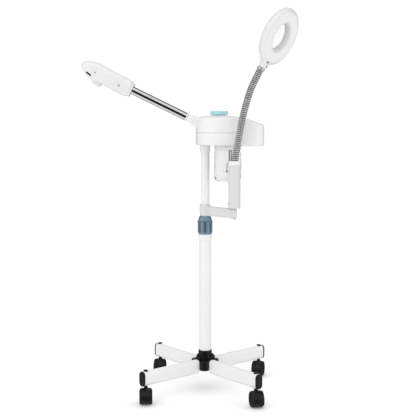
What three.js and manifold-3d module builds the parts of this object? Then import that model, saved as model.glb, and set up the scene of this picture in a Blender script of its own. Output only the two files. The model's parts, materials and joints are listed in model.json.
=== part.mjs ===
// Facial steamer on a rolling stand, with a ring magnifying lamp on a gooseneck.
// Millimetres, +Z up. X runs to the right of the machine, -Y is its front.
import * as THREE from 'three';
import { mergeVertices } from 'three/addons/utils/BufferGeometryUtils.js';
import Module from 'manifold-3d';

const wasm = await Module();
wasm.setup();

// ---------------------------------------------------------------- driving dimensions
const GAP = 0.3; // running or seating gap between neighbouring pieces
const DEG = Math.PI / 180;
const FINE = 24; // sides on the largest round pieces
const ROUND = 18; // sides on tubes and medium round pieces
const SMALL = 8; // sides on screws and holes
const SMOOTHING = 0.05; // flat faces are merged within this distance

const BASE = { yaw: 40.4, tip: 259.4, tubeEnd: 253, midZ: 80, wide: 25, high: 46, corner: 10, wall: 1.6 };
const HUB = { radius: 22, bottom: 69, top: 131, seat: 113, bore: 19.3, face: 34.7, pillar: 16.5 };
const CLAW = { reach: 37.5, top: 117, half: 8 };
const CASTER = { at: 243, wheel: 24, hood: 27.7, width: 42, trail: 9, stem: 4.5, web: 3.5 };
const CASTER_YAWS = [-14, -6, 4, 12];
const HOOD_ARC = { from: -34, sweep: 214, steps: 9, shoulder: 9 };
const LOWER_TUBE = { radius: 19, wall: 1.5, bottom: 113.3, top: 541, sleeveFrom: 496 };
const UPPER_TUBE = { radius: 14, wall: 1.4, bottom: 214, top: 823, bush: [220, 262] };
const COLLAR = { radius: 24.5, neck: 18, bottom: 514.5, top: 573, ledge: 556 };
const BRACKET = { bottom: 574.5, top: 605.5, ring: 17.5, ringTop: 611, width: 17 };
const MAST = { x: 92, y: -95, radius: 19, bottom: 607, top: 741.5, capTop: 755 };
const NECK = { radius: 11, ball: 5, sides: 12 };
const LAMP = { outer: 92, inner: 45, half: 12.5, lens: 44.6, neckEnd: 107.6, rim: 10 };
const LAMP_CENTRE = [227.3, -95, 1137.8];
const LAMP_SWITCH = { at: [-6, -86.5, 0], width: 3.6, length: 5.6, foot: 5, stroke: 1, proud: 1.2 };
const LAMP_SCREW_AT = [0, -99, 0];
const DRUM = { x: 47, radius: 77, bottom: 802, seam: 842, crown: 898, crownX: 45, dome: 328, wall: 2.6 };
const LOBE = { from: 96, to: 189, half: 53, corner: 36, drop: 3 };
const SOCKET = { outer: 16.7, bottom: 780, top: 836 };
const JAR = { x: 73, y: -4, radius: 44, bottom: 686, shoulder: 786, neck: 40, top: 812, wall: 3 };
const ROCKER = { x: 148, length: 17, height: 9, places: [829, 815] };
const INLET = { x: 120.5, z: 822 };
const CAP = { x: 45.5, radius: 28.5, bottom: 897.5, top: 911, bore: 14, neck: 16.6 };
const ELBOW = { x: -43, z: 884, eye: 12, half: 9, ear: 15, earOut: 15, pin: 3, slope: 26.1 };
const STEAM_TUBE = { radius: 12.5, wall: 1.2, start: 19, end: 236, collar: 212 };
const NOZZLE = { x: -273, z: 991, slope: 27.8, half: 25, wall: 2.2, along: 253.6, below: 5.1 };

// ---------------------------------------------------------------- finishes
function finish(color, roughness, metalness = 0) {
  return () => new THREE.MeshStandardMaterial({ color, roughness, metalness });
}
const whitePlastic = finish(0xf2f2f0, 0.32);
const whitePaint = finish(0xececea, 0.42);
const greyPaint = finish(0xdfdfdc, 0.42);
const blackPlastic = finish(0x26272a, 0.5);
const collarBlue = finish(0x7d94a5, 0.45);
const aqua = finish(0xb7e2e4, 0.35);
const chrome = finish(0xe6e6e8, 0.06, 1);
const darkSteel = finish(0x4a4a4c, 0.35, 0.9);
const gooseneckMetal = finish(0x9a9a98, 0.3, 0.9);
const clearGlass = finish(0xf4f6f6, 0.05);
const frosted = finish(0xf6f6f4, 0.6);

// ---------------------------------------------------------------- shape helpers
// A closed solid from a geometry: shared vertices merged, empty faces dropped, faces turned outward.
function solid(geometry) {
  const bare = geometry.clone();
  bare.deleteAttribute('normal');
  bare.deleteAttribute('uv');
  const merged = mergeVertices(bare, 1e-4);
  const points = merged.attributes.position.array;
  const faces = [];
  let volume = 0;
  for (let i = 0; i < merged.index.count; i += 3) {
    const [a, b, c] = [0, 1, 2].map((k) => merged.index.getX(i + k));
    if (a === b || b === c || c === a) continue;
    faces.push(a, b, c);
    const [p, q, r] = [a, b, c].map((n) => new THREE.Vector3().fromArray(points, 3 * n));
    volume += p.dot(q.cross(r));
  }
  if (volume < 0) faces.reverse();
  const vertProperties = new Float32Array(points);
  const triVerts = new Uint32Array(faces);
  return new wasm.Manifold(new wasm.Mesh({ numProp: 3, vertProperties, triVerts }));
}

function cut(from, ...tools) {
  return tools.reduce((left, tool) => left.subtract(tool), from);
}

function join(...pieces) {
  return pieces.reduce((all, piece) => all.add(piece));
}

function toGeometry(shape) {
  const mesh = shape.asOriginal().simplify(SMOOTHING).getMesh();
  const geometry = new THREE.BufferGeometry();
  geometry.setAttribute('position', new THREE.BufferAttribute(new Float32Array(mesh.vertProperties), 3));
  geometry.setIndex(new THREE.BufferAttribute(new Uint32Array(mesh.triVerts), 1));
  geometry.computeVertexNormals();
  return geometry;
}

function add(group, name, shape, finishOf) {
  const mesh = new THREE.Mesh(toGeometry(shape), finishOf());
  mesh.name = name;
  group.add(mesh);
  return mesh;
}

function vectors(pairs) {
  return pairs.map(([x, y]) => new THREE.Vector2(x, y));
}

function circle(radius, sides, x = 0, y = 0) {
  return Array.from({ length: sides }, (_, i) => {
    const t = (2 * Math.PI * i) / sides;
    return new THREE.Vector2(x + radius * Math.cos(t), y + radius * Math.sin(t));
  });
}

// A rectangle with rounded corners, centred on the origin.
function roundedRectangle(width, height, corner, steps = 3) {
  const centres = [[1, 1], [-1, 1], [-1, -1], [1, -1]];
  const points = [];
  centres.forEach(([sx, sy], quarter) => {
    for (let i = 0; i <= steps; i++) {
      const t = (quarter + i / steps) * 0.5 * Math.PI;
      const x = sx * (width / 2 - corner) + corner * Math.cos(t);
      const y = sy * (height / 2 - corner) + corner * Math.sin(t);
      points.push(new THREE.Vector2(x, y));
    }
  });
  return points;
}

function outline(points, holes = []) {
  const shape = new THREE.Shape(points);
  shape.holes = holes.map((hole) => new THREE.Path(hole));
  return shape;
}

// An outline in X and Y pushed up from low to high.
function prism(points, low, high, holes = []) {
  const settings = { depth: high - low, bevelEnabled: false, steps: 1 };
  return solid(new THREE.ExtrudeGeometry(outline(points, holes), settings).translate(0, 0, low));
}

// An outline in X and Z pushed along Y from front to back.
function plate(points, front, back, holes = []) {
  const settings = { depth: back - front, bevelEnabled: false, steps: 1 };
  const geometry = new THREE.ExtrudeGeometry(outline(points, holes), settings);
  return solid(geometry.rotateX(Math.PI / 2).translate(0, back, 0));
}

// A profile of [radius, z] points turned about Z.
function turned(profile, sides = ROUND) {
  const points = profile.map(([r, z]) => new THREE.Vector2(r, z));
  return solid(new THREE.LatheGeometry(points, sides).rotateX(Math.PI / 2));
}

function disc(radius, low, high, sides = ROUND) {
  return turned([[0, low], [radius, low], [radius, high], [0, high]], sides);
}

function ring(inner, outer, low, high, sides = ROUND) {
  return turned([[inner, low], [outer, low], [outer, high], [inner, high], [inner, low]], sides);
}

// A straight bar along +X with the given outline (width along Y, height along Z).
function bar(points, start, end, holes = []) {
  const settings = { depth: end - start, bevelEnabled: false, steps: 1 };
  const geometry = new THREE.ExtrudeGeometry(outline(points, holes), settings).translate(0, 0, start);
  return solid(geometry.rotateX(Math.PI / 2).rotateZ(Math.PI / 2));
}

// A round pin along Y.
function crossPin(radius, front, back, sides = SMALL) {
  return disc(radius, front, back, sides).rotate([90, 0, 0]).translate([0, front + back, 0]);
}

function swept(curve, radius, steps, sides) {
  const settings = { extrudePath: curve, steps, bevelEnabled: false };
  return solid(new THREE.ExtrudeGeometry(outline(circle(radius, sides)), settings));
}

// ---------------------------------------------------------------- groups
const machine = new THREE.Group();
const base = new THREE.Group();
const column = new THREE.Group();
const mast = new THREE.Group();
const lamp = new THREE.Group();
const head = new THREE.Group();
const jarGroup = new THREE.Group();
const steamArm = new THREE.Group();
const nozzle = new THREE.Group();
machine.add(base, column, mast, lamp, head, jarGroup, steamArm, nozzle);
mast.position.set(MAST.x, MAST.y, 0);
jarGroup.position.set(JAR.x, JAR.y, 0);

// ---------------------------------------------------------------- base, arms and casters
const CORNERS = ['back_right', 'back_left', 'front_left', 'front_right'];

// Outline of the arm socket: a flat face for each arm, and a round pillar between neighbours.
function socketOutline() {
  const { face, pillar } = HUB;
  const half = BASE.wide / 2;
  const centre = (face + half) / 2 - 4;
  const points = [];
  for (let quarter = 0; quarter < 4; quarter++) {
    const turn = (BASE.yaw + 90 * quarter) * DEG;
    const corners = vectors([[face, -half], [face, half]]);
    corners.forEach((corner) => points.push(corner.rotateAround(new THREE.Vector2(), turn)));
    for (let i = 0; i <= 4; i++) {
      const t = (-20 + 32.5 * i) * DEG;
      const point = new THREE.Vector2(centre + pillar * Math.cos(t), centre + pillar * Math.sin(t));
      points.push(point.rotateAround(new THREE.Vector2(), turn));
    }
  }
  return points;
}

function hubShape() {
  const { radius, bottom, top, seat, bore, face } = HUB;
  const { reach, top: clawTop, half } = CLAW;
  const body = turned([[0, bottom], [radius, bottom], [radius, top - 2], [radius - 1, top], [0, top]], FINE);
  const armTop = BASE.midZ + BASE.high / 2;
  const socket = prism(socketOutline(), bottom, armTop - 3);
  const claw = vectors([[radius - 6, armTop - 6], [face, armTop - 6], [face, armTop + GAP],
    [reach, armTop + GAP], [reach - 1, armTop + 4], [reach - 5, armTop + 9], [radius + 3, clawTop], [radius - 6, clawTop + 3]]);
  const claws = CORNERS.map((_, i) => plate(claw, -half, half)
    .rotate([0, 0, BASE.yaw + 90 * i]));
  return cut(join(body, socket, ...claws), disc(bore, seat, top + 1, FINE));
}

function armTubeShape() {
  const { wide, high, corner, wall, midZ, tubeEnd } = BASE;
  const outer = roundedRectangle(wide, high, corner);
  const inner = roundedRectangle(wide - 2 * wall, high - 2 * wall, corner - wall);
  const tube = bar(outer, HUB.face + GAP, tubeEnd, [inner]).translate([0, 0, midZ]);
  const stemHole = disc(CASTER.stem + 2 * GAP, midZ - high, midZ + high, SMALL).translate([CASTER.at, 0, 0]);
  return cut(tube, stemHole);
}

function endCapShape() {
  const { wide, high, corner, wall, midZ, tubeEnd, tip } = BASE;
  const grow = 1;
  const face = roundedRectangle(wide + grow, high + grow, corner + grow / 2);
  const bevel = roundedRectangle(wide - 3, high - 3, corner - 1);
  const lip = 2 * (wall + GAP);
  const plug = roundedRectangle(wide - lip, high - lip, corner - wall);
  const plugStart = CASTER.at + CASTER.stem + 2;
  const rim = join(bar(face, tubeEnd + GAP, tip - 1.5), bar(bevel, tip - 1.6, tip));
  return join(rim, bar(plug, plugStart, tubeEnd + 1)).translate([0, 0, midZ]);
}

// Twin-wheel caster hood: a round-shouldered arch over both wheels, a web, and the stem with its nut.
function casterHoodShape() {
  const { wheel, hood, width, trail, stem, web: webHalf } = CASTER;
  const { from, sweep, steps, shoulder } = HOOD_ARC;
  const arc = (radius) => Array.from({ length: steps + 1 }, (_, i) => {
    const t = (from + (sweep * i) / steps) * DEG;
    return new THREE.Vector2(-trail - radius * Math.cos(t), wheel + radius * Math.sin(t));
  });
  const roof = wheel + hood;
  const clear = wheel + 1.5;
  const shoulders = bar(roundedRectangle(width, 2 * roof, shoulder), -trail - 2 * hood, hood);
  const shell = plate([...arc(hood), ...arc(clear).reverse()], -width / 2, width / 2).intersect(shoulders);
  const axleHole = circle(3.4, 16, -trail, wheel);
  const web = plate(circle(wheel + 2.5, 28, -trail, wheel), -webHalf, webHalf, [axleHole]);
  const floorRoom = prism(circle(wheel + 6, 28, -trail, 0), -10, 1.5);
  const wheelRoom = plate(circle(clear, 28, -trail, wheel), -width, width);
  const boss = cut(disc(7, roof - 9, roof + 2, ROUND), wheelRoom);
  const armBottom = BASE.midZ - BASE.high / 2;
  const armTop = BASE.midZ + BASE.high / 2;
  const post = join(disc(stem + 0.7, roof, armBottom - GAP, SMALL), disc(stem, roof, armTop + 3.5, SMALL));
  const nut = disc(7.5, armTop + GAP, armTop + 4, 6);
  return cut(join(shell, web, boss, post, nut), floorRoom).rotate([0, 0, 90]);
}

function casterWheelsShape() {
  const { wheel, width, trail, web } = CASTER;
  const tread = (from, to) => turned([[0, from], [wheel - 2, from], [wheel, from + 2], [wheel, to - 4],
    [wheel - 4, to], [0, to]], ROUND);
  const inside = web + 2 * GAP;
  const outside = width / 2 - 0.5;
  const right = tread(inside, outside);
  const pair = join(right, right.mirror([0, 0, 1]), disc(3, -inside - 1, inside + 1, SMALL));
  return pair.rotate([90, 0, 0]).translate([-trail, 0, wheel]).rotate([0, 0, 90]);
}

add(base, 'base_hub', hubShape(), blackPlastic);
CORNERS.forEach((corner, i) => {
  const arm = new THREE.Group();
  arm.rotation.z = (BASE.yaw + 90 * i) * DEG;
  base.add(arm);
  add(arm, `arm_tube_${corner}`, armTubeShape(), whitePaint);
  add(arm, `arm_end_cap_${corner}`, endCapShape(), blackPlastic);
  const caster = new THREE.Group();
  const reach = new THREE.Vector3(CASTER.at, 0, 0).applyAxisAngle(new THREE.Vector3(0, 0, 1), arm.rotation.z);
  caster.position.copy(reach);
  caster.rotation.z = CASTER_YAWS[i] * DEG;
  base.add(caster);
  add(caster, `caster_hood_${corner}`, casterHoodShape(), blackPlastic);
  add(caster, `caster_wheels_${corner}`, casterWheelsShape(), blackPlastic);
});

// ---------------------------------------------------------------- column
function collarShape() {
  const { radius, neck, bottom, top, ledge } = COLLAR;
  const flutes = 12;
  const outside = turned([[0, bottom], [20.5, bottom], [radius - 0.5, bottom + 8], [radius, bottom + 10],
    [radius, ledge], [radius - 1, ledge + 2], [neck, top], [0, top]], FINE);
  const grooves = Array.from({ length: flutes }, (_, i) => prism(circle(5, 10, radius + 3.6, 0), bottom + 9,
    ledge - 2).rotate([0, 0, (360 * i) / flutes]));
  const lowerBore = disc(LOWER_TUBE.radius + GAP, bottom - 1, LOWER_TUBE.top + GAP, ROUND);
  const upperBore = disc(UPPER_TUBE.radius + GAP, LOWER_TUBE.top - 1, top + 1, ROUND);
  return cut(outside, ...grooves, lowerBore, upperBore);
}

const { radius: lowerRadius, wall: lowerWall } = LOWER_TUBE;
add(column, 'lower_tube', ring(lowerRadius - lowerWall, lowerRadius, LOWER_TUBE.bottom, LOWER_TUBE.top, FINE),
  whitePaint);
add(column, 'tube_sleeve', ring(lowerRadius + GAP, lowerRadius + 2, LOWER_TUBE.sleeveFrom,
  COLLAR.bottom - GAP, FINE), whitePlastic);
add(column, 'height_collar', collarShape(), collarBlue);
const bushOuter = lowerRadius - lowerWall - GAP;
add(column, 'guide_bush', ring(UPPER_TUBE.radius + GAP, bushOuter, ...UPPER_TUBE.bush, FINE), blackPlastic);
add(column, 'upper_tube', ring(UPPER_TUBE.radius - UPPER_TUBE.wall, UPPER_TUBE.radius, UPPER_TUBE.bottom,
  UPPER_TUBE.top, ROUND), whitePaint);

// ---------------------------------------------------------------- lamp bracket
const MAST_REACH = Math.hypot(MAST.x, MAST.y);
const MAST_BEARING = Math.atan2(MAST.y, MAST.x) / DEG;

function bracketShape() {
  const { bottom, top, ring: ringRadius, ringTop, width } = BRACKET;
  const clampRing = disc(ringRadius, bottom - 0.5, ringTop, ROUND);
  const armLine = roundedRectangle(width, top - bottom, 5, 3);
  const arm = bar(armLine, 6, MAST_REACH).translate([0, 0, (top + bottom) / 2]);
  const end = disc(width / 2, bottom, top, ROUND).translate([MAST_REACH, 0, 0]);
  const ribs = [22, 27].map((x) => bar(roundedRectangle(width + 2, top - bottom + 2, 5, 3), x, x + 2.5)
    .translate([0, 0, (top + bottom) / 2]));
  const bore = disc(UPPER_TUBE.radius + GAP, bottom - 2, ringTop + 2, ROUND);
  const pinHole = disc(4 + GAP, bottom - 1, top + 1, SMALL).translate([MAST_REACH, 0, 0]);
  const screwHole = bar(circle(2.6, SMALL), -ringRadius - 4, -10).translate([0, 0, (top + bottom) / 2 + 2]);
  return cut(join(clampRing, arm, end, ...ribs), bore, pinHole, screwHole).rotate([0, 0, MAST_BEARING]);
}

function bracketScrewShape() {
  const z = (BRACKET.top + BRACKET.bottom) / 2 + 2;
  const headStart = -BRACKET.ring - 4;
  const shank = bar(circle(2.2, SMALL), headStart, -UPPER_TUBE.radius - GAP);
  const screwHead = bar(circle(5, SMALL), headStart - 1, -BRACKET.ring - GAP);
  return join(shank, screwHead).translate([0, 0, z]).rotate([0, 0, MAST_BEARING]);
}

function mastTubeShape() {
  const { radius, bottom, top } = MAST;
  const wall = 1.6;
  const floor = 6;
  const tube = turned([[0, bottom], [radius - 2, bottom], [radius, bottom + 2], [radius, top],
    [radius - wall, top], [radius - wall, bottom + floor], [0, bottom + floor]], FINE);
  return cut(tube, disc(4 + GAP, bottom - 1, bottom + floor + 1, SMALL));
}

// Pivot bolt standing up through the bracket end, with a washer head below and a nut inside the mast.
function mastBoltShape() {
  const shank = disc(4, BRACKET.bottom - 2, MAST.bottom + 12, SMALL);
  const boltHead = disc(7, BRACKET.bottom - 4, BRACKET.bottom - GAP, SMALL);
  const nut = disc(7, MAST.bottom + 6.4, MAST.bottom + 11, 6);
  return join(shank, boltHead, nut);
}

add(column, 'bracket_arm', bracketShape(), greyPaint);
add(column, 'bracket_screw', bracketScrewShape(), darkSteel);
add(mast, 'mast_pivot_bolt', mastBoltShape(), darkSteel);
add(mast, 'mast_tube', mastTubeShape(), greyPaint);

// ---------------------------------------------------------------- gooseneck
const neckPath = new THREE.CatmullRomCurve3([[0, 735], [1.5, 755], [5, 785], [14, 835], [27, 899], [45, 963],
  [61.7, 1002.6], [82.5, 1043.6]].map(([x, z]) => new THREE.Vector3(x, 0, z)));

class NeckStretch extends THREE.Curve {
  constructor(from, to) {
    super();
    this.from = from;
    this.to = to;
  }

  getPoint(t, target = new THREE.Vector3()) {
    return neckPath.getPointAt(this.from + (this.to - this.from) * t, target);
  }
}

const NECK_LENGTH = neckPath.getLength();
const BENDS = [0.4, 0.72];
const BEND_GAP = 3.4;

// A ball or its socket, centred on a bend of the neck.
function neckBall(at, radius) {
  const centre = neckPath.getPointAt(at);
  return solid(new THREE.SphereGeometry(radius, 10, 6)).translate(centre.toArray());
}

// One stretch of neck, with a ball below when it hangs on a bend and a socket above when one rests on it.
function neckPiece(from, to, ballBelow, socketAbove) {
  const start = ballBelow ? from + BEND_GAP / NECK_LENGTH : from;
  let piece = swept(new NeckStretch(start, to), NECK.radius, 7, NECK.sides);
  if (ballBelow) {
    const stalk = swept(new NeckStretch(from, start + 0.01), NECK.ball * 0.55, 1, 8);
    piece = join(piece, neckBall(from, NECK.ball), stalk);
  }
  return socketAbove ? cut(piece, neckBall(to, NECK.ball + GAP)) : piece;
}

function mastCapShape() {
  const { radius, top, capTop } = MAST;
  const cap = turned([[0, top + GAP], [radius, top + GAP], [radius, capTop - 4], [radius - 4, capTop],
    [0, capTop]], FINE);
  return cut(cap, swept(new NeckStretch(0, 0.3), NECK.radius + GAP, 6, NECK.sides));
}

const NECK_END = 1 - 14 / NECK_LENGTH;
add(mast, 'mast_top_cap', mastCapShape(), whitePlastic);
add(mast, 'gooseneck_lower', neckPiece(0, BENDS[0], false, true), gooseneckMetal);
add(mast, 'gooseneck_middle', neckPiece(BENDS[0], BENDS[1], true, true), gooseneckMetal);
add(mast, 'gooseneck_upper', neckPiece(BENDS[1], NECK_END, true, true), gooseneckMetal);

// ---------------------------------------------------------------- ring lamp
// The lamp's own frame: +Z is the lit face, -Y points down the neck.
const neckUp = new THREE.Vector3(0.47, 0, 0.8827).normalize();
const faceOut = new THREE.Vector3(0.757, -0.51, -0.404);
faceOut.addScaledVector(neckUp, -faceOut.dot(neckUp)).normalize();
const lampSide = new THREE.Vector3().crossVectors(neckUp, faceOut);
lamp.position.fromArray(LAMP_CENTRE);
lamp.quaternion.setFromRotationMatrix(new THREE.Matrix4().makeBasis(lampSide, neckUp, faceOut));

function lampRearShape() {
  const { outer, inner, half } = LAMP;
  const shell = turned([[inner - 2.5, -half], [outer - 8, -half], [outer - 2.4, -half + 2.6],
    [outer, -half + 8], [outer, -0.15], [outer - 2.4, -0.15], [outer - 2.4, -half + 8],
    [outer - 8, -half + 2.5],
    [inner + 2.5, -half + 2.5], [inner + 2.5, -0.15], [inner, -0.15], [inner, -half + 2.2],
    [inner - 2.5, -half + 2.2], [inner - 2.5, -half]], FINE);
  const neckOutline = vectors([[-20, -outer + 6], [-13, -outer - 6], [-12, -LAMP.neckEnd],
    [12, -LAMP.neckEnd], [13, -outer - 6], [20, -outer + 6]]);
  const neck = cut(prism(neckOutline, -half, half - 2), disc(outer - 1, -half, half, FINE));
  const tongue = prism(neckOutline, -half, -0.15);
  const room = disc(outer - 2.4, -half, half + 1, FINE);
  const above = disc(outer + GAP, 0, half + 1, FINE);
  const screwHole = disc(2.3, -half - 1, half, SMALL).translate(LAMP_SCREW_AT);
  return cut(join(shell, cut(tongue, room), cut(neck, above)), screwHole);
}

function lampFrontShape() {
  const { outer, inner, half, rim } = LAMP;
  const shell = turned([[inner, 0.15], [inner + 2.5, 0.15], [inner + 2.5, 6.5], [outer - 2.5, 6.5],
    [outer - 2.5, 0.15], [outer, 0.15], [outer, half - 8], [outer - 2.5, half - 3.5],
    [outer - 6.5, half - 1], [outer - rim, half],
    [outer - rim, 8.5], [inner + 5, 8.5], [inner + 5, half], [inner + 2, half], [inner, half - 2],
    [inner, 0.15]], FINE);
  const { at, width, length, foot, stroke } = LAMP_SWITCH;
  const switchRoom = roundedRectangle(width + 2 * GAP, length + 2 * GAP, 1.5);
  return cut(shell, prism(switchRoom, foot - stroke - 1, half + 1).translate(at));
}

function lensShape() {
  const { lens, half } = LAMP;
  const rear = -half + 2.5;
  return turned([[0, rear - 2], [22, rear - 1.3], [lens - 3, rear], [lens, rear], [lens, rear + 2.5],
    [lens - 3, rear + 2.5], [22, rear + 4.8], [0, rear + 5.8]], FINE);
}

add(lamp, 'lamp_rear_shell', lampRearShape(), whitePlastic);
add(lamp, 'lamp_front_shell', lampFrontShape(), whitePlastic);
const diffuserOuter = LAMP.outer - LAMP.rim - GAP;
add(lamp, 'led_diffuser', ring(LAMP.inner + 5.3, diffuserOuter, 8.8, LAMP.half - 0.6, FINE), frosted);
add(lamp, 'magnifier_lens', lensShape(), clearGlass);
const neckScrew = join(disc(2, -11, 11, SMALL), disc(3.6, LAMP.half - 1.7, LAMP.half - 0.2, SMALL));
add(lamp, 'lamp_neck_screw', neckScrew.translate(LAMP_SCREW_AT), darkSteel);
const switchOutline = roundedRectangle(LAMP_SWITCH.width, LAMP_SWITCH.length, 1.2);
const switchButton = prism(switchOutline, LAMP_SWITCH.foot, LAMP.half + LAMP_SWITCH.proud);
add(lamp, 'lamp_switch', switchButton.translate(LAMP_SWITCH.at), blackPlastic);

// Ferrule that closes the gooseneck and carries the lamp, on a ball of its own.
function ferruleShape() {
  const start = NECK_END + BEND_GAP / NECK_LENGTH;
  const body = swept(new NeckStretch(start, 1), NECK.radius + 1.5, 1, SMALL);
  const stalk = swept(new NeckStretch(NECK_END, start + 0.01), NECK.ball * 0.55, 1, 8);
  return join(body, neckBall(NECK_END, NECK.ball), stalk);
}
add(mast, 'lamp_ferrule', ferruleShape(), gooseneckMetal);

// ---------------------------------------------------------------- steamer housing
function drumOutline(inset) {
  return circle(DRUM.radius - inset, 48, DRUM.x, 0);
}

function lobeOutline(inset) {
  const { from, to, half, corner } = LOBE;
  const r = corner - inset;
  const points = [new THREE.Vector2(from, half - inset), new THREE.Vector2(from, -half + inset)];
  const steps = 6;
  for (let side = 0; side < 2; side++) {
    for (let i = 0; i <= steps; i++) {
      const t = (-90 + 90 * (side + i / steps)) * DEG;
      const y = (side ? 1 : -1) * (half - corner);
      points.push(new THREE.Vector2(to - corner + r * Math.cos(t), y + r * Math.sin(t)));
    }
  }
  return points;
}

function housingBlock(inset, low, high) {
  return join(prism(drumOutline(inset), low, high), prism(lobeOutline(inset), low, high));
}

// Everything under the shallow crown that roofs both lobes.
function underCrown(inset) {
  const { crown, crownX, dome } = DRUM;
  const reach = 165;
  const profile = [[0, 700], [reach, 700]];
  for (let i = 5; i >= 0; i--) {
    const r = (reach * i) / 5;
    profile.push([r, crown - inset - (r * r) / (2 * dome)]);
  }
  return turned(profile, FINE).translate([crownX, 0, 0]);
}

function elbowEar(front, back) {
  const { x, z, ear, pin } = ELBOW;
  const points = [];
  const steps = 10;
  for (let i = 0; i <= steps; i++) {
    const t = (239 - (164 * i) / steps) * DEG;
    points.push(new THREE.Vector2(x + ear * Math.cos(t), z + ear * Math.sin(t)));
  }
  [[-34, 893.5], [-31, 896], [-28.6, 899.3], [-26.4, 893], [-22, 888.4], [-12, 887.6], [-12, 852], [-29, 858]]
    .forEach(([px, pz]) => points.push(new THREE.Vector2(px, pz)));
  return plate(points, front, back, [circle(pin + 0.4, 12, x, z)]);
}

function topShellShape() {
  const { seam, wall, crown } = DRUM;
  const outer = housingBlock(0, seam, crown + 5).intersect(underCrown(0));
  const inner = housingBlock(wall, seam - 1, crown + 5).intersect(underCrown(wall));
  const { half: eyeHalf, earOut } = ELBOW;
  const ears = join(elbowEar(-earOut, -eyeHalf - 2 * GAP), elbowEar(eyeHalf + 2 * GAP, earOut));
  const backing = plate(vectors([[-29, 852], [-12, 852], [-12, 887.5], [-26, 887.5]]), -earOut, earOut);
  const shell = cut(join(outer, ears, backing), inner);
  const steamWay = disc(7, -60, 0, SMALL).rotate([0, 90, 0]).translate([20, 0, 872]);
  const fillHole = disc(17, seam, crown + 10, ROUND).translate([CAP.x, 0, 0]);
  const roomHalf = eyeHalf + 2 * GAP;
  const knuckleRoom = plate(circle(ELBOW.eye + 2 * GAP, 24, ELBOW.x, ELBOW.z), -roomHalf, roomHalf);
  return cut(shell, fillHole, steamWay, knuckleRoom);
}

function baseShellShape() {
  const { bottom, seam, wall } = DRUM;
  const { outer: socketRadius } = SOCKET;
  const top = seam - GAP;
  const body = join(prism(drumOutline(3), bottom, bottom + 3), prism(drumOutline(0), bottom + 3, top),
    prism(lobeOutline(3), bottom - LOBE.drop, bottom + 3), prism(lobeOutline(0), bottom, top));
  const tray = cut(body, housingBlock(wall, bottom + 3, top + 1));
  const poleHole = disc(socketRadius + GAP, bottom - 5, bottom + 10, ROUND);
  const jarHole = disc(JAR.neck + 7, bottom - 5, bottom + 10, FINE).translate([JAR.x, JAR.y, 0]);
  const rear = LOBE.half;
  const { x: rockerX, length, height, places } = ROCKER;
  const rockerRoom = plate(roundedRectangle(length + 1.6, height + 1.2, 1, 2), rear - 6, rear + 6);
  const rockers = places.map((z) => rockerRoom.translate([rockerX, 0, z]));
  const inlet = plate(roundedRectangle(28, 20, 2, 2), rear - 6, rear + 6).translate([INLET.x, 0, INLET.z]);
  return cut(tray, poleHole, jarHole, ...rockers, inlet);
}

function poleSocketShape() {
  const { outer, bottom, top } = SOCKET;
  const inner = UPPER_TUBE.radius + GAP;
  const sleeve = ring(inner, outer, bottom, top, ROUND);
  const flange = ring(inner, outer + 9, DRUM.bottom + 3.3, DRUM.bottom + 7, ROUND);
  return join(sleeve, flange);
}

function boilerLidShape() {
  const { neck } = JAR;
  const low = 803;
  const plateZ = 814;
  const cup = turned([[neck + 0.6, low], [neck + 6, low], [neck + 6, plateZ + 6], [neck - 10, plateZ + 9],
    [0, plateZ + 9], [0, plateZ], [neck + 0.6, plateZ], [neck + 0.6, low]], FINE);
  const holes = [[5.5, 0], [11.5, -1], [4, 6]].map(([x, y]) => disc(3.2, plateZ - 2, plateZ + 12, SMALL)
    .translate([x, y, 0]));
  const fill = disc(9, plateZ - 2, plateZ + 12, ROUND).translate([CAP.x - JAR.x, 0, 0]);
  return cut(cup, ...holes, fill);
}

// Heating rod: down one leg, round a U bend and back up the other.
function heaterShape() {
  const path = [[5.5, 0, 830], [5.5, 0, 800], [5.5, 0, 757], [6.2, 0, 750], [8.5, -0.5, 747], [10.8, -1, 750],
    [11.5, -1, 757], [11.5, -1, 800], [11.5, -1, 830]].map((point) => new THREE.Vector3(...point));
  return swept(new THREE.CatmullRomCurve3(path), 2.2, 18, 8);
}

// Level probe: a thin stalk that bends inward below the heater and ends in a tee.
function levelProbeShape() {
  const path = [[4, 6, 829], [4, 6, 800], [4, 6, 757], [3, 6, 748], [-1, 6, 740], [-2.5, 6, 732],
    [-2.5, 6, 713]].map((point) => new THREE.Vector3(...point));
  const stalk = swept(new THREE.CatmullRomCurve3(path), 1.6, 16, SMALL);
  const tee = join(disc(5, 716, 719.5, SMALL), disc(3, 712, 717, SMALL)).translate([-2.5, 6, 0]);
  return join(stalk, tee);
}

add(head, 'housing_top_shell', topShellShape(), whitePlastic);
add(head, 'housing_base_shell', baseShellShape(), whitePlastic);
add(head, 'pole_socket', poleSocketShape(), whitePlastic);
add(jarGroup, 'boiler_lid', boilerLidShape(), whitePlastic);
add(jarGroup, 'heating_element', heaterShape(), darkSteel);
add(jarGroup, 'level_probe', levelProbeShape(), darkSteel);
const ozoneLamp = join(disc(8, 836, 866, SMALL), disc(5, 826, 837, SMALL));
add(head, 'ozone_lamp', ozoneLamp.translate([4, 34, 0]), clearGlass);

function neckFunnelShape() {
  const low = 826;
  const roof = DRUM.crown;
  const { bore, neck, bottom } = CAP;
  return turned([[bore, low], [neck, low], [neck, roof - 0.5], [22, roof + 0.2], [22, bottom + 6],
    [bore, bottom + 6], [bore, low]], ROUND);
}

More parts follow.
